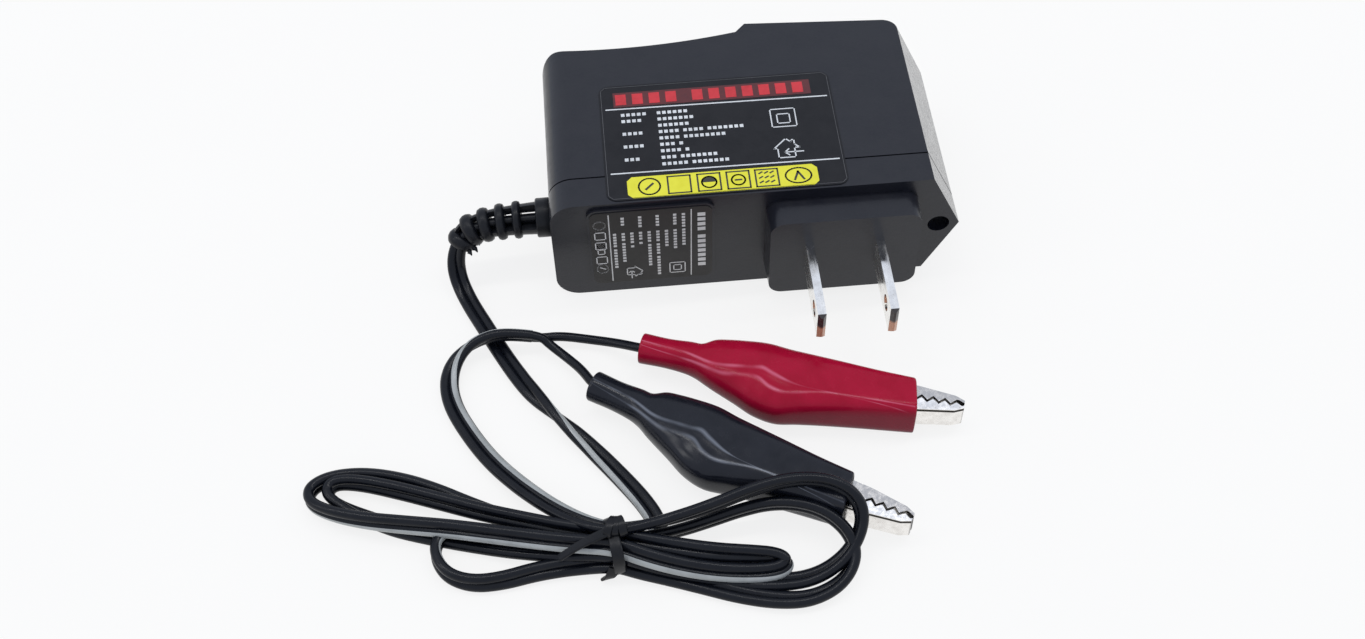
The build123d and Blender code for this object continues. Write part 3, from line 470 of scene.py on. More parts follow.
# Colour, darker colour, roughness, stretch of the grain, and tarnish.
PLATED = (
    ("blade_plating", (0.9, 0.89, 0.86), (0.46, 0.43, 0.4), 0.17, (1, 0.15, 1), 0.35),
    ("bright_steel", (0.55, 0.55, 0.54), (0.22, 0.21, 0.2), 0.28),
)
PAINTS = {row[0]: make(*row) for make, rows in
          ((moulded, MOULDED), (soft_pvc, SOFT_PVC), (plated, PLATED)) for row in rows}
# Slots and nodes whose paint has another name than their slot.
SLOT_LOOKS = {"screw_steel": "bright_steel", "pin_steel": "bright_steel",
              "spring_steel": "bright_steel", "blade_brass": "blade_plating",
              "cord_pvc": "cord_black", "red_pvc": "boot_red", "black_pvc": "boot_black"}
NODE_LOOKS = {"rating_label": "rating_film"}

CASE_COAT, SLOPE_COAT, CASE_COAT_ROUGHNESS = 0.45, 1.0, 0.20
SEAM_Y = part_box("rear_case")[0].y - 0.00015
# SLOPE_GLARE is the colour of the painted highlight specks on the sloping faces.
SLOPE_GLARE, SLOPE_GRAIN = (0.055, 0.055, 0.054), 0.0006


def finish_case():
    """Coats the case. The sloping faces of the pointed end are glossier, with coarser grain, and
    carry painted glare: lighter specks that stand in for the highlight there.
    """
    paint = PAINTS["case_plastic"]
    paint.set("Coat Weight", CASE_COAT)
    paint.set("Coat Roughness", CASE_COAT_ROUGHNESS)
    paint.bump(paint.noise(0.0009, 2), 12 * UM, coat=True)
    off_seam = paint.level(paint.away(paint.where("Y"), SEAM_Y), 0, 1, 0.00020, 0.00026)
    on_slope = paint.times(paint.level(paint.facing("X"), 0, 1, 0.80, 0.88), off_seam)
    glare_specks = paint.level(paint.noise(SLOPE_GRAIN, 2), 0, 1, 0.40, 0.60)
    # painted highlight: lighter specks of glare on the sloping faces
    paint.tint(paint.times(on_slope, glare_specks), SLOPE_GLARE)
    paint.link(paint.level(on_slope, CASE_COAT, SLOPE_COAT, 0, 1), "Coat Weight")
    paint.bump(paint.times(on_slope, paint.noise(SLOPE_GRAIN, 2)), 80 * UM, coat=True)


RIDGE_NAMES = ("first_ridge", "second_ridge")
# Colours of the painted highlights along each boot's ridges.
RIDGE_HIGHLIGHT_TINTS = {"red": (0.60, 0.15, 0.23), "black": (0.20, 0.215, 0.25)}
# Colour of the painted shade on the red boot's sides.
RED_SIDE_SHADE = (0.060, 0.003, 0.012)


def finish_boots():
    """Paints shade on the red boot's sides and underside, and painted highlights on both boots
    along the ridges over the levers.
    """
    red = PAINTS["boot_red"]
    # painted shade: the red boot darkens where it faces sideways and down
    red.tint(red.level(red.facing("Z"), 0.9, 0.0, -0.35, 0.65), RED_SIDE_SHADE)
    for colour in COLOURS:
        paint = PAINTS[f"boot_{colour}"]
        upward = paint.level(paint.facing("Z"), 0, 1, 0.25, 0.55)
        for ridge in RIDGE_NAMES:
            # painted highlight: a pale line along each ridge on the upper faces, broken up by
            # noise
            near = paint.level(paint.away(paint.stored(ridge), 0), 0.62, 0, 0.00005, 0.00060)
            patchy = paint.level(paint.noise(0.006, 1), 0.25, 1, 0.38, 0.60)
            paint.tint(paint.times(near, upward, patchy), RIDGE_HIGHLIGHT_TINTS[colour])


SHEARED_END, SHEARED_COPPER = (0.035, 0.030, 0.028), (0.50, 0.25, 0.15)


def finish_blades():
    """The blades' ends are sheared: dull and dark, with bare copper on the lower half."""
    paint = PAINTS["blade_plating"]
    low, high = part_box("left_blade")
    middle = (low.z + high.z) / 2
    on_end = paint.level(paint.facing("Y"), 1, 0, -0.66, -0.55)
    paint.link(paint.level(on_end, 1, 0.15, 0, 1), "Metallic")
    paint.tint(on_end, SHEARED_END)
    lower = paint.level(paint.where("Z"), 1, 0, middle - 0.0004, middle + 0.0002)
    paint.tint(paint.times(on_end, lower), SHEARED_COPPER)


# JAW_SLOT_SHADE is the colour of the painted shade round the slot between the teeth.
JAW_SLOT_SHADE, JAW_FAR_COLOUR = (0.012, 0.011, 0.011), (0.42, 0.40, 0.38)
# Colour and height of the painted shade line along the jaws' near top edge.
JAW_EDGE_SHADE, JAW_EDGE_SHADE_RISE = (0.020, 0.017, 0.014), 0.00185


def jaw_plating(colour):
    """Nickel plating, with painted shade in the slot between the teeth and along the near top
    edge.
    """
    paint = plated(f"{colour}_jaw_plating", (0.90, 0.88, 0.85), (0.50, 0.47, 0.44), 0.22,
                   tarnish=0.35)
    metal = metal_axes(colour)
    middle, across = metal.translation, metal.to_3x3() @ Vector((0, 1, 0))
    line = middle.dot(across)
    sideways, height = paint.along(across), paint.where("Z")
    off_middle = paint.away(sideways, line)
    off_level = paint.away(height, middle.z)
    paint.tint(paint.level(sideways, 0, 0.75, line - 0.0001, line + 0.0001), JAW_FAR_COLOUR)
    # painted shade: the plating darkens round the gap between the teeth
    slot = paint.times(paint.level(off_middle, 1, 0, 0.00068, 0.00084),
                       paint.level(off_level, 1, 0, 0.00218, 0.00233))
    paint.tint(slot, JAW_SLOT_SHADE)
    # painted shade: a dark line along the near top edge, where the flange's edge is in shadow
    off_edge = paint.away(height, middle.z + JAW_EDGE_SHADE_RISE)
    near_edge_shade = paint.times(paint.level(paint.along(across, normal=True), 1, 0, -0.75, -0.60),
                            paint.level(off_edge, 1, 0, 0.00028, 0.00034))
    paint.tint(near_edge_shade, JAW_EDGE_SHADE)
    return paint


def paint_nodes():
    finish_case()
    finish_boots()
    finish_blades()
    for colour in COLOURS:
        PAINTS[f"{colour}_jaw_plating"] = jaw_plating(colour)
        for part in ("fixed", "moving"):
            NODE_LOOKS[f"{colour}_{part}_jaw"] = f"{colour}_jaw_plating"
    slots = {part["node"]: part["material_slot"] for part in frame["record"]["subparts"]}
    for name, node in frame["nodes"].items():
        slot = slots[name]
        look = NODE_LOOKS.get(name, SLOT_LOOKS.get(slot, slot))
        for holder in node.material_slots:
            holder.material = PAINTS[look].material


# ======== twin cord and leads
LOBE_SEGMENTS = 14
# Degrees round the striped core, from the ribbon's outer edge.
STRIPE_FROM, STRIPE_TO = 52, 112


def twin_section():
    """Outline of the two joined cores, and the paint of each of its sides."""
    reach = math.pi - math.acos(CORE_OUT / CORE_R)
    outline, paints = [], []
    for side in (1, -1):
        for step in range(LOBE_SEGMENTS):
            angle = reach * (2 * step / LOBE_SEGMENTS - 1)
            outline.append((side * (CORE_OUT + CORE_R * math.cos(angle)),
                            side * CORE_R * math.sin(angle)))
            middle = math.degrees(angle + reach / LOBE_SEGMENTS)
            paints.append(int(side > 0 and STRIPE_FROM < middle < STRIPE_TO))
    return outline, paints


def make_twin():
    """The flat twin cord, its line, the ends of its two cores, and the way ahead there."""
    points = smooth_line([placed(*entry[:3]) for entry in TWIN_ROUTE])
    leans = along_route([entry[3] for entry in TWIN_ROUTE], len(points))
    ways = leaning(points, leans)
    outline, paints = twin_section()
    shell = Shell()
    shell.tube([
        [point + width * x + thickness * y for x, y in outline]
        for point, (width, thickness) in zip(points, ways)
    ], paints)
    twin = shell.piece("twin_cord", PAINTS["cord_black"].material,
                       PAINTS["cord_stripe"].material)
    end, (width, _) = points[-1], ways[-1]
    cores = {"black": end + width * CORE_OUT, "red": end - width * CORE_OUT}
    return twin, points, cores, (points[-1] - points[-3]).normalized()


# ---- clips: boot axes, and the metal's axes inside them
CLIP_RISE = 4.35               # from the table to the clips' middle, in mm
METAL_TURN = math.radians(3.6)
PIVOT_U, PIVOT_V = 0.0360, -0.00075
# Middle of the collar's end, heading in degrees, and how far the metal is slid out of the boot.
CLIPS = {"red": ((14.7, -17.2), -20.05, 0.0), "black": ((5.7, -24.6), -33.6, 0.0028)}


def boot_axes(colour):
    collar, heading, _ = CLIPS[colour]
    return (Matrix.Translation(placed(*collar, CLIP_RISE))
            @ Matrix.Rotation(math.radians(heading), 4, "Z"))


def metal_axes(colour):
    _, _, slid = CLIPS[colour]
    shift = Matrix.Translation((PIVOT_U + slid, PIVOT_V, 0))
    return boot_axes(colour) @ shift @ Matrix.Rotation(METAL_TURN, 4, "Z")


LEAD_INSIDE = 0.0015           # how far a lead's line starts back inside its core
COLLAR_DEPTH = 0.0064          # how far it runs straight into the boot
CRIMP_U, WIRE_END_U, WIRE_V = -0.0240, -0.0172, 0.0004      # in the metal's axes


def make_lead(colour, core_end, ahead):
    """A lead from the twin cord to its clip's crimp, where it starts, and its length."""
    boot, metal = boot_axes(colour), metal_axes(colour)
    route = [core_end - ahead * LEAD_INSIDE, core_end + ahead * LEAD_INSIDE]
    route += [placed(*place) for place in LEAD_ROUTES[colour]]
    route += [boot @ Vector((0, 0, 0)), boot @ Vector((COLLAR_DEPTH, 0, 0)),
              metal @ Vector((CRIMP_U, WIRE_V, 0)), metal @ Vector((WIRE_END_U, WIRE_V, 0))]
    data = nurbs(f"{colour}_clip_lead", route, LEAD_STEPS_PER_SPAN)
    data.bevel_depth = LEAD_R
    data.bevel_resolution = 5
    data.use_fill_caps = True
    data.materials.append(PAINTS["cord_black"].material)
    return added(f"{colour}_clip_lead", data), core_end, length_of(smooth_line(route))


# ======== boots
# A boot is laid out in millimetres, along it from its collar and across it: along, across,
# half width, half height, wall, and squareness of the section.
BOOT_SECTIONS = [
    (0, 0, 2.75, 2.75, 0.9, 2), (4.5, 0, 2.65, 2.7, 0.9, 2), (8.5, 0, 2.9, 2.9, 0.9, 2.1),
    (10.5, -0.25, 3.15, 3.1, 0.9, 2.2), (12.5, -0.05, 4.3, 3.4, 0.9, 2.3),
    (14.5, -0.25, 4.95, 3.7, 0.9, 2.4), (18, -0.7, 5.9, 4.1, 0.9, 2.5),
    (22, -1.4, 6.9, 4.3, 0.9, 2.7), (26, -1.9, 7, 4.35, 0.9, 2.8),
    (30, -1.55, 6.3, 4.35, 0.9, 3.1), (35, -1.15, 5.5, 4.35, 0.9, 3.5),
    (42, -0.7, 4.55, 4.3, 0.8, 4), (49.5, -0.15, 3.8, 4.25, 0.7, 4.4),
]
# Two soft ridges on the near shoulder, over the edge of the clip's levers: along, across
# and height.
BOOT_RIDGES = [
    [(0, -0.3, 0.08), (8, -0.9, 0.14), (14, -2.5, 0.2), (20, -2.3, 0.26), (22.2, -1.9, 0.28),
     (24.3, -2.7, 0.28), (27.6, -3.7, 0.16), (31, -4, 0.02), (49.5, -4, 0)],
    [(0, -1.1, 0.02), (9, -2.1, 0.1), (15.7, -4, 0.2), (21.7, -4, 0.24), (24.4, -5.4, 0.24),
     (27.2, -5.8, 0.2), (33.7, -4.2, 0.12), (41.3, -3.6, 0.08), (49.5, -3.1, 0.08)],
]
RIDGE_HALF = 1.0               # half width of a ridge
BOOT_LENGTH = BOOT_SECTIONS[-1][0]
# The mouth's slant, where it starts along the boot, and where across nothing is cut back.
MOUTH_SLANT, MOUTH_FROM, MOUTH_HINGE = 0.20, 38.0, -4.0
BOOT_RINGS, BOOT_SIDES, OFF_RIDGE = 110, 96, 1.0
RIDGE_FULL, RIDGE_STRETCH = 0.28, 8        # height of a full ridge, and its most stretch
RIDGE_LEAN, RIDGE_FADE = 0.35, 1.0
COLLAR_HOLE_R, COLLAR_END_THICK, RIM_ROUND = 1.0, 1.6, 0.35


def between(table, at):
    """A table's row at a place along it, on smooth curves through its rows."""
    index = max(i for i in range(len(table) - 1) if i == 0 or table[i][0] <= at)
    (start, *low), (stop, *high) = table[index], table[index + 1]
    before, after = table[max(index - 1, 0)], table[min(index + 2, len(table) - 1)]
    run = stop - start
    share = (at - start) / run
    found = []
    for k, (a, b) in enumerate(zip(low, high), 1):
        slope_a = (b - before[k]) / (stop - before[0]) * run
        slope_b = (after[k] - a) / (after[0] - start) * run
        blend = 3 * share ** 2 - 2 * share ** 3
        found.append((1 - blend) * a + blend * b
                     + (share ** 3 - 2 * share ** 2 + share) * slope_a
                     + (share ** 3 - share ** 2) * slope_b)
    return found


def rounded(middle, half_across, half_up, squareness, sides):
    """A section between an ellipse and a rounded rectangle, in a plane of constant u."""
    ring = []
    for k in range(sides):
        angle = math.tau * k / sides
        cosine, sine = math.cos(angle), math.sin(angle)
        ring.append(middle + Vector((
            0,
            half_across * math.copysign(abs(cosine) ** (2 / squareness), cosine),
            half_up * math.copysign(abs(sine) ** (2 / squareness), sine),
        )))
    return ring


def ridged(ring, at):
    """The section's ring with the two ridges raised on its upper side."""
    raised = []
    for corner in ring:
        lift = 0.0
        if corner.z > 0:
            for ridge in BOOT_RIDGES:
                across, height = between(ridge, at)
                lift += height * math.exp(-((corner.y - across) / RIDGE_HALF) ** 2)
        rise = lift * min(corner.z / RIDGE_FADE, 1)
        raised.append(corner + Vector((0, -RIDGE_LEAN * lift, rise)))
    return raised


def from_ridge(ring, at, ridge):
    """Metres from a ridge's line to each corner, counted further where the ridge is low."""
    across, height = between(ridge, at)
    stretch = RIDGE_FULL / max(height, RIDGE_FULL / RIDGE_STRETCH)
    return [(corner.y - across) * stretch * MM for corner in ring]


def slanted(corner):
    """Cuts the mouth back towards the boot's far side."""
    share = min(max((corner.x - MOUTH_FROM) / (BOOT_LENGTH - MOUTH_FROM), 0), 1)
    return corner - Vector((MOUTH_SLANT * (corner.y - MOUTH_HINGE) * share ** 2, 0, 0))


def make_boot(colour):
    axes = boot_axes(colour)

    def section(at, inset):
        across, half, high, _, square = between(BOOT_SECTIONS, min(max(at, 0), BOOT_LENGTH))
        high = min(high, CLIP_RISE)          # the boot lies on the table, so none of it is lower
        return rounded(Vector((at, across, 0)), half - inset, high - inset, square, BOOT_SIDES)

    rings = [section(-RIM_ROUND * 0.7, RIM_ROUND), section(-RIM_ROUND * 0.5, RIM_ROUND * 0.3)]
    places = [BOOT_LENGTH * step / BOOT_RINGS for step in range(BOOT_RINGS + 1)]
    ridge_marks = [[OFF_RIDGE] * (len(rings) * BOOT_SIDES) for _ in BOOT_RIDGES]
    for at in places:
        rings.append(ridged(section(at, 0), at))
        for marks, ridge in zip(ridge_marks, BOOT_RIDGES):
            marks += from_ridge(rings[-1], at, ridge)
    rings += [section(BOOT_LENGTH + RIM_ROUND * 0.7, RIM_ROUND * 0.3),
              section(BOOT_LENGTH + RIM_ROUND, RIM_ROUND)]
    for at in reversed(places):
        if at > COLLAR_END_THICK:
            rings.append(section(at, between(BOOT_SECTIONS, at)[3]))
    rings += [rounded(Vector((at, 0, 0)), COLLAR_HOLE_R, COLLAR_HOLE_R, 2, BOOT_SIDES)
              for at in (COLLAR_END_THICK, RIM_ROUND, 0)]
    shell = Shell()
    shell.tube([[axes @ (slanted(corner) * MM) for corner in ring] for ring in rings], loop=True)
    piece = shell.piece(f"{colour}_clip_boot", PAINTS[f"boot_{colour}"].material,
                        smooth_angle=50)
    for name, marks in zip(RIDGE_NAMES, ridge_marks):
        marks += [OFF_RIDGE] * (len(shell.vertices) - len(marks))
        piece.data.attributes.new(name, "FLOAT", "POINT").data.foreach_set("value", marks)
    return piece


# ======== strain relief
RELIEF_ROUTE = [(0, 8.8, 12.1), (-8.0, 8.8, 12.1), (-13.6, 8.5, 11.4), (-16.7, 7.8, 9.9),
                (-17.8, 6.5, 6.8)]
RELIEF_STEPS_PER_SPAN = 24
COLLAR_R, COLLAR_LENGTH, COLLAR_EDGE = 0.00365, 0.0028, 0.0003
# Distance along the route, radius and half thickness of each ring.
RELIEF_RINGS = [(0.0063, 0.00350, 0.0008), (0.0093, 0.00340, 0.0009), (0.0122, 0.00325, 0.0011),
                (0.0150, 0.00310, 0.0012), (0.0177, 0.00275, 0.0013)]
RELIEF_END, LAST_RING_R, _ = RELIEF_RINGS[-1]
RING_INSIDE, RING_SIDES, RING_ROUNDING = 0.0009, 40, 0.75
SLEEVE_HALF = (0.0019, 0.00096)          # along and across the windows' way
SLEEVE_STEPS, SLEEVE_SIDES = 32, 28
WEB_ANGLE, WEB_INSIDE, WEB_DROP, WEB_SPLIT = 0.70, 0.00160, 0.00055, 0.8
WEB_STEPS, WEB_ARC_STEPS = 40, 8
WINDOW_WAY = Vector((0, 0.606, -0.794))  # the windows look straight through this way
# Torn bits of moulding flash: distance along the route, turn round it, and length.
NIBS = [(0.0168, 0.45, 0.0011), (0.0176, -0.25, 0.0014), (0.0184, 0.1, 0.0009),
        (0.0186, -0.6, 0.0012)]
# Share of a nib's length, radius there, and how far it is bent ahead.
NIB_TAPER = ((0, 0.0006, 0), (0.6, 0.0004, 0), (1, 0.00012, 0.0003))
NIB_ROOT, NIB_SIDES = 0.0004, 8


def ring_profile(half, outside, corner):
    """Closed outline of a ring of the relief, as (ahead, radius) points."""
    chamfer = corner * 0.3
    rising = [(half, RING_INSIDE), (half, outside - corner), (half - chamfer, outside - chamfer),
              (half - corner, outside)]
    return [(-ahead, radius) for ahead, radius in rising] + rising[::-1]


def make_relief():
    line = smooth_line([placed(*place) for place in RELIEF_ROUTE], RELIEF_STEPS_PER_SPAN)
    ways = tangents(line)
    walked = [0.0]
    for a, b in zip(line, line[1:]):
        walked.append(walked[-1] + (b - a).length)

    def axes(distance):
        """Place on the route, the way ahead, across the windows, and along them."""
        distance = min(distance, walked[-1] - 1e-6)
        index = next(i for i in range(len(line) - 1) if walked[i + 1] > distance)
        share = (distance - walked[index]) / (walked[index + 1] - walked[index])
        ahead = ways[index].lerp(ways[index + 1], share).normalized()
        along = (WINDOW_WAY - ahead * ahead.dot(WINDOW_WAY)).normalized()
        return line[index].lerp(line[index + 1], share), ahead, along.cross(ahead), along

    shell = Shell()

    def lathe(distance, profile):
        """A ring round the route, from its closed profile."""
        place, ahead, across, along = axes(distance)
        outs = circle(Vector(), across, along, 1, RING_SIDES)
        shell.tube([[place + ahead * a + out * r for a, r in profile] for out in outs], loop=True)

    half = COLLAR_LENGTH / 2
    lathe(half, ring_profile(half, COLLAR_R, COLLAR_EDGE))
    for distance, radius, thickness in RELIEF_RINGS:
        lathe(distance, ring_profile(thickness, radius, thickness * RING_ROUNDING))
    # sleeve over the cord, seen through the windows
    sleeve = []
    for step in range(SLEEVE_STEPS + 1):
        place, _, across, along = axes(RELIEF_END * step / SLEEVE_STEPS)
        sleeve.append(circle(place, along, across, SLEEVE_HALF[0], SLEEVE_SIDES, SLEEVE_HALF[1]))
    shell.tube(sleeve)
    # the two webs that join the rings, either side of the windows
    for side in (1, -1):
        inside = WEB_INSIDE if side > 0 else SLEEVE_HALF[1] * WEB_SPLIT
        strip = []
        for step in range(WEB_STEPS + 1):
            share = step / WEB_STEPS
            place, _, across, along = axes(half + (RELIEF_END - half) * share)
            outside = COLLAR_R - WEB_DROP + (LAST_RING_R - COLLAR_R) * share
            outer, inner = [], []
            for k in range(WEB_ARC_STEPS + 1):
                angle = WEB_ANGLE * (2 * k / WEB_ARC_STEPS - 1)
                out = across * (side * math.cos(angle)) + along * math.sin(angle)
                outer.append(place + out * outside)
                inner.append(place + out * inside)
            strip.append(outer + inner[::-1])
        shell.tube(strip)
    for distance, turn, length in NIBS:
        place, ahead, across, along = axes(distance)
        out = (along * math.sin(turn) - across * math.cos(turn)).normalized()
        root = place + out * (LAST_RING_R - NIB_ROOT)
        shell.tube([circle(root + out * length * share + ahead * bend, ahead, along, radius,
                           NIB_SIDES) for share, radius, bend in NIB_TAPER])
    return shell.piece("cord_strain_relief", PAINTS["relief_rubber"].material, smooth_angle=45)


# ======== tie round the hank
# The loop round the cords, in mm: place along X, middle and half sizes in Y and Z, and slant.
TIE_X, TIE_MIDDLE, TIE_HALF, TIE_SLANT = 7.2, (-56.35, 3.85), (4.25, 3.58), 0.6
TIE_SQUARENESS, TIE_TWIST = 0.72, 0.25
STRAP_WIDTH, STRAP_THICK, STRAP_STEPS = 0.0020, 0.0005, 48
KNOT_AT, KNOT_SIZE = (7.6, -55.1, 7.8), (0.0017, 0.0013, 0.0010)
KNOT_WRAPS = [(0.3, 0.0), (-0.5, 0.0009), (1.2, -0.0007)]       # turn, and place along X
KNOT_STEPS, KNOT_WIDTH, KNOT_THICK, KNOT_LEAN = 24, 0.75 * STRAP_WIDTH, 0.0009, 0.4
# The strap's two ends: route, width at the tip as a share, and the way the width points.
TIE_ENDS = [
    ([(7.6, -55.6, 8.1), (5.5, -56.2, 7.8), (2.5, -57.0, 7.0), (0, -58.0, 6.3),
      (-1.8, -58.7, 5.5)], 0.75, Vector((0.15, 1, -0.15))),
    ([(7.0, -60.3, 3.4), (6.4, -60.8, 2.2), (5.6, -60.7, 0.9), (5.0, -60.3, 0.4)],
     0.70, Vector((1, 0.1, 0.2))),
]
# Section of the strap with rounded edges, in halves of its width and thickness.
STRAP_SECTION = ((-1, -0.35), (-0.86, -1), (0, -1.15), (0.86, -1), (1, -0.35),
                 (1, 0.35), (0.86, 1), (0, 1.15), (-0.86, 1), (-1, 0.35))


def ribbon(shell, points, ways, widths, thick, loop=False):
    """A flat strap along points. ways holds the way its width points at each of them."""
    rings = []
    for point, ahead, across, width in zip(points, tangents(points), ways, widths):
        across = (across - ahead * ahead.dot(across)).normalized()
        out = across.cross(ahead)
        rings.append([point + across * (width / 2 * x) + out * (thick / 2 * y)
                      for x, y in STRAP_SECTION])
    shell.tube(rings, loop=loop)


def squared(cosine):
    """Pulls a circle's coordinate out towards a rounded square."""
    return math.copysign(abs(cosine) ** TIE_SQUARENESS, cosine)


def make_tie():
    shell = Shell()
    loop, ways = [], []
    for k in range(STRAP_STEPS):
        angle = math.tau * k / STRAP_STEPS
        loop.append(placed(TIE_X - TIE_SLANT * math.cos(angle),
                           TIE_MIDDLE[0] + TIE_HALF[0] * squared(math.cos(angle)),
                           TIE_MIDDLE[1] + TIE_HALF[1] * squared(math.sin(angle))))
        ways.append(Vector((1, TIE_TWIST * math.sin(2 * angle), 0.2)))
    ribbon(shell, loop, ways, [STRAP_WIDTH] * STRAP_STEPS, STRAP_THICK, loop=True)
    # the knot: three short turns of strap pulled tight over each other
    for turn, along in KNOT_WRAPS:
        middle = placed(*KNOT_AT) + Vector((along, 0, 0))
        lean = Vector((KNOT_SIZE[0] * KNOT_LEAN * math.sin(turn), KNOT_SIZE[1], 0))
        wrap = circle(middle, lean, UP * KNOT_SIZE[2], 1, KNOT_STEPS)
        ribbon(shell, wrap, [Vector((1, -math.sin(turn) * 0.5, 0.1))] * KNOT_STEPS,
               [KNOT_WIDTH] * KNOT_STEPS, KNOT_THICK, loop=True)
    for route, tip, way in TIE_ENDS:
        points = smooth_line([placed(*place) for place in route])
        last = len(points) - 1
        widths = [STRAP_WIDTH * (1 + (tip - 1) * i / last) for i in range(last + 1)]
        ribbon(shell, points, [way] * len(points), widths, STRAP_THICK)
    return shell.piece("hank_strap", PAINTS["tie_plastic"].material)


# ======== printing on the labels
# Places and sizes on a label are in millimetres from its lower left corner.
INK_LOW, INK_HIGH, OVER_INK = -0.01, 0.03, 0.02
RING_STEPS, HALF_DISC_STEPS = 28, 10
# In sizes of the house from its middle. The arrow's strokes all start at its first point.
HOUSE_WALLS = ((-0.36, -0.5), (0.30, -0.5), (0.30, 0.0), (0.5, 0.0), (0.32, 0.18), (0.32, 0.42),
               (0.18, 0.42), (0.18, 0.32), (0, 0.5), (-0.5, 0.0), (-0.36, 0.0))
HOUSE_ARROW = ((-0.1, -0.22), (0.62, -0.22), (0.06, -0.06), (0.06, -0.38))


class Print:
    """Ink shapes on a label, drawn in its own axes: x to the right, y up, in millimetres."""

    def __init__(self, corner, right, up, out):
        self.corner, self.right, self.up, self.out = corner, right * MM, up * MM, out * MM
        self.shell = Shell()

    def shape(self, outline, ink, lift=0.0):
        corners = [self.corner + self.right * x + self.up * y + self.out * INK_LOW
                   for x, y in outline]
        self.shell.slab(corners, self.out * (INK_HIGH + lift - INK_LOW), ink)

    def block(self, left, low, right, high, ink, lift=0.0):
        self.shape([(left, low), (right, low), (right, high), (left, high)], ink, lift)

    def strokes(self, strokes, width, ink, lift=0.0):
        for start, stop in strokes:
            start, stop = Vector(start), Vector(stop)
            ahead = (stop - start).normalized() * (width / 2)
            side = Vector((-ahead.y, ahead.x))
            start, stop = start - ahead, stop + ahead
            self.shape([start - side, stop - side, stop + side, start + side], ink, lift)

    def outline(self, corners, width, ink, lift=0.0):
        self.strokes(zip(corners, corners[1:] + corners[:1]), width, ink, lift)

    def ring(self, x, y, half_wide, half_high, width, ink, lift=0.0):
        self.outline(arc(x, y, half_wide, half_high, math.tau, RING_STEPS)[:-1], width, ink, lift)

    def square(self, x, y, half, width, ink, lift=0.0):
        self.outline([(x - half, y - half), (x + half, y - half), (x + half, y + half),
                      (x - half, y + half)], width, ink, lift)

    def words(self, left, low, counts, size, step, high, space, ink, lift=0.0):
        """A row of plain blocks standing for print: so many to a word, a space between words."""
        at = left
        for count in counts:
            for _ in range(count):
                self.block(at, low, at + size, low + high, ink, lift)
                at += step
            at += space

    def house(self, x, y, size, width, ink):
        """A plain house outline with an arrow going in."""
        walls, arrow = ([(x + size * a, y + size * b) for a, b in shape]
                        for shape in (HOUSE_WALLS, HOUSE_ARROW))
        self.outline(walls, width, ink)
        self.strokes([(arrow[0], stop) for stop in arrow[1:]], width, ink)


def arc(x, y, half_wide, half_high, turn, steps):
    angles = [turn * k / steps for k in range(steps + 1)]
    return [(x + half_wide * math.cos(angle), y + half_high * math.sin(angle))
            for angle in angles]


def cut_corners(left, low, right, high, cut):
    """A rectangle with its corners cut off."""
    return [(left, low + cut), (left + cut, low), (right - cut, low), (right, low + cut),
            (right, high - cut), (right - cut, high), (left + cut, high), (left, high - cut)]


# Small print: for each row with any, its number from the top and the letters in its words.
ROW_STEP = 1.60
LEFT_ROWS = [(0, (5,)), (1, (4,)), (3, (4,)), (5, (4,)), (7, (3,))]
MIDDLE_ROWS = [(0, (6,)), (1, (7,)), (2, (6,)), (3, (4, 4, 7)), (4, (4, 8)), (5, (3, 1)),
               (6, (4, 1)), (7, (3, 7)), (8, (5, 7))]
LETTER_WIDE, LETTER_STEP, LETTER_HIGH, WORD_SPACE = 0.66, 0.98, 0.74, 0.528
HEADING = (4, 7)


def rows_of_print(sheet, left, middle, top, scale, step, ink):
    """The two columns of small print, from their left edges and the top row's baseline."""
    for column, rows in ((left, LEFT_ROWS), (middle, MIDDLE_ROWS)):
        for row, counts in rows:
            sheet.words(column, top - row * step, counts, LETTER_WIDE * scale,
                        LETTER_STEP * scale, LETTER_HIGH * scale, WORD_SPACE * scale, ink)


MAIN_INKS = ("ink_white", "ink_red", "ink_yellow", "ink_black", "heading_ground", "ink_faint")
SIGN_X, SIGN_Y, SIGN_LINE = (7.7, 13.0, 18.3, 23.5, 28.6, 34.2), 2.8, 0.30


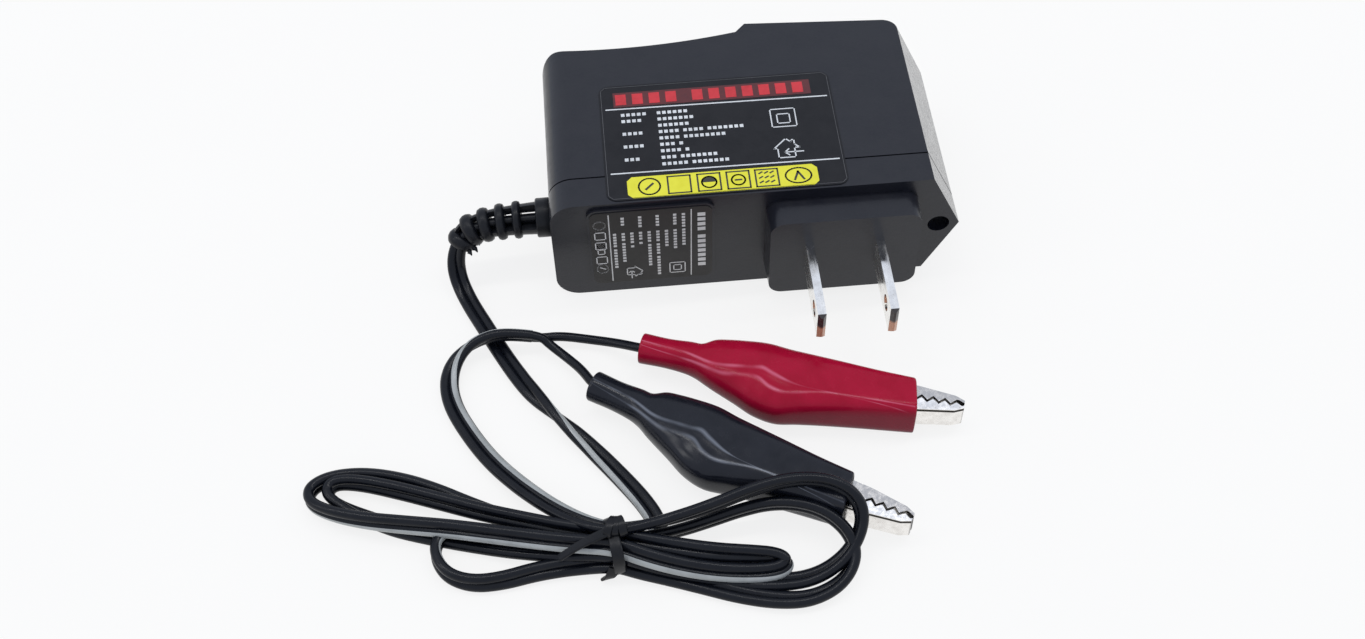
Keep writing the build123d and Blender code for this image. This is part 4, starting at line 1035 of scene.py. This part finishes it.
def make_main_print():
    low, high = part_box("main_label")
    sheet = Print(Vector((low.x, low.y, high.z)), Vector((1, 0, 0)), Vector((0, 1, 0)), UP)
    wide, tall = (high.x - low.x) / MM, (high.y - low.y) / MM
    white, red, yellow, black, dark_red, faint = range(len(MAIN_INKS))
    rule = 0.28
    # border, two rules, the heading on its ground, the small print and two signs
    sheet.outline(cut_corners(0.4, 0.4, wide - 0.4, tall - 0.4, 0.8), 0.09, faint)
    sheet.strokes([((1.2, 22.4), (wide - 1.1, 22.0)), ((1.2, 6.4), (wide - 1.1, 6.1))],
                  rule, white)
    sheet.block(2.6, 22.9, 39.2, 26.6, dark_red)
    sheet.words(3.0, 23.4, HEADING, 1.98, 3.1075, 2.7, 1.7875, red, OVER_INK)
    rows_of_print(sheet, 3.8, 10.4, 20.4, 1.0, ROW_STEP, white)
    sheet.square(33.3, 17.2, 2.25, rule * 0.8, white)
    sheet.square(33.3, 17.0, 1.15, rule * 0.8, white)
    sheet.house(33.0, 9.6, 4.6, rule * 0.9, white)
    # coloured strip with six plain signs
    sheet.shape(cut_corners(3.8, 0.3, 37.7, 5.3, 0.9), yellow)
    line, y = SIGN_LINE, SIGN_Y
    slash, blank, half_disc, minus, dashes, wedge = SIGN_X
    for x in (blank, half_disc, minus, dashes):
        sheet.square(x, y, 2.0, line, black, OVER_INK)
    for x, half_wide, half_high in ((slash, 1.9, 1.9), (half_disc, 1.3, 1.3), (minus, 1.2, 1.2),
                                    (wedge, 2.3, 1.8)):
        sheet.ring(x, y, half_wide, half_high, line, black, OVER_INK)
    sheet.strokes([((slash - 0.6, y - 0.6), (slash + 0.6, y + 0.6))], line * 1.4, black, OVER_INK)
    sheet.shape(arc(half_disc, y, 1.3, 1.3, math.pi, HALF_DISC_STEPS), black, OVER_INK)
    sheet.strokes([((minus - 0.5, y), (minus + 0.5, y))], line * 1.2, black, OVER_INK)
    sheet.strokes([((dashes + x, y + row), (dashes + x + 0.5, y + row + 0.3))
                   for row in (-1.1, 0.0, 1.1) for x in (-1.3, -0.3, 0.7)],
                  line, black, OVER_INK)
    sheet.strokes([((wedge + x, y - 0.9), (wedge, y + 0.9)) for x in (-0.7, 0.9)],
                  line * 1.3, black, OVER_INK)
    return sheet.shell.piece("main_label_print", *(PAINTS[ink].material for ink in MAIN_INKS))


def make_rating_print():
    low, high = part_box("rating_label")
    # the print runs down the wall face: its right is down, its up is towards +X
    sheet = Print(Vector((low.x, low.y, high.z)), Vector((0, 0, -1)), Vector((1, 0, 0)),
                  Vector((0, -1, 0)))
    wide = (high.z - low.z) / MM
    rule, grey = 0.20, 0
    # two rules, the heading, the small print and two signs
    sheet.strokes([((0.6, 18.1), (wide - 0.6, 17.9)), ((0.6, 3.4), (wide - 0.6, 3.4))],
                  rule, grey)
    sheet.words(1.6, 19.2, HEADING, 0.88, 1.30, 1.4, 0.8, grey)
    rows_of_print(sheet, 1.4, 5.6, 16.4, 0.80, 0.97 * ROW_STEP, grey)
    for half in (1.4, 0.7):
        sheet.square(16.3, 15.4, half, rule, grey)
    sheet.house(16.6, 7.6, 2.9, rule, grey)
    # a row of plain signs along the foot
    y = 1.7
    for x, half in ((6.0, 0.95), (8.7, 0.95), (10.4, 0.6), (12.7, 0.95)):
        sheet.square(x, y, half, rule, grey)
    for x, half_wide, half_high in ((3.2, 1.05, 1.05), (8.7, 0.6, 0.6), (15.2, 1.2, 1.0)):
        sheet.ring(x, y, half_wide, half_high, rule, grey)
    sheet.strokes([((14.8, y - 0.4), (15.3, y + 0.5))], rule, grey)
    return sheet.shell.piece("rating_label_print", PAINTS["ink_grey"].material)


# ======== light, floor and scene
WORLD_COLOUR, WORLD_STRENGTH = (0.90, 0.97, 1.12), 0.86
# Name, place, target, size and power.
LIGHTS = [
    ("overhead", (-0.03, 0.12, 0.85), (-0.02, -0.02, 0), (1.30, 0.045), 3.0),
    ("left", (-0.70, -0.10, 0.45), (-0.02, -0.02, 0), (0.12, 0.30), 0.4),
    ("right", (0.70, 0.10, 0.50), (0.02, 0.0, 0), (0.12, 0.30), 0.4),
]
FLOOR_HALF, FLOOR_THICK, FLOOR_GLOW = 2.5, 0.010, 0.82
FLOOR_COLOUR, FLOOR_LIGHTER = (0.120, 0.117, 0.111), (0.128, 0.125, 0.119)


def area_light(name, place, target, size, power):
    data = bpy.data.lights.new(name, "AREA")
    data.shape = "RECTANGLE"
    data.size, data.size_y = size
    data.energy = power
    light = added(name, data)
    light.location = place
    light.rotation_euler = (Vector(target) - Vector(place)).to_track_quat("-Z", "Y").to_euler()


def make_studio():
    world = bpy.data.worlds.new("studio")
    world.use_nodes = True
    ground = world.node_tree.nodes["Background"]
    ground.inputs["Color"].default_value = (*WORLD_COLOUR, 1)
    ground.inputs["Strength"].default_value = WORLD_STRENGTH
    bpy.context.scene.world = world
    for light in LIGHTS:
        area_light(*light)
    paint = Paint("floor_pale", FLOOR_COLOUR, 0.8, specular=0.1)
    paint.tint(paint.level(paint.noise(0.05), 0, 0.3), FLOOR_LIGHTER)
    paint.set("Emission Color", (1, 1, 1, 1))
    paint.set("Emission Strength", FLOOR_GLOW)
    shell = Shell()
    shell.slab([Vector((x * FLOOR_HALF, y * FLOOR_HALF, -FLOOR_THICK))
                for x, y in ((-1, -1), (1, -1), (1, 1), (-1, 1))], UP * FLOOR_THICK)
    floor = shell.piece("floor", paint.material)


make_camera()
make_studio()
paint_nodes()

relief = make_relief()
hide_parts("strain_relief")
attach(relief, "root")

tie = make_tie()
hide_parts("hank_tie")
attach(tie, "root")

twin, twin_line, core_ends, split_ahead = make_twin()
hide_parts("cord_lead", "cord_hank", "cord_loop")
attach(twin, "root")

for label_print in (make_main_print(), make_rating_print()):
    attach(label_print, "root")

# Each clip gets its boot and the lead to it.
for colour in COLOURS:
    boot = make_boot(colour)
    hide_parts(f"{colour}_boot")
    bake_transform(boot)
    lead, leaves, length = make_lead(colour, core_ends[colour], split_ahead)
    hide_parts(f"{colour}_lead")
    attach(lead, "root")

bpy.context.scene.view_settings.view_transform = "Standard"
bpy.context.view_layer.update()
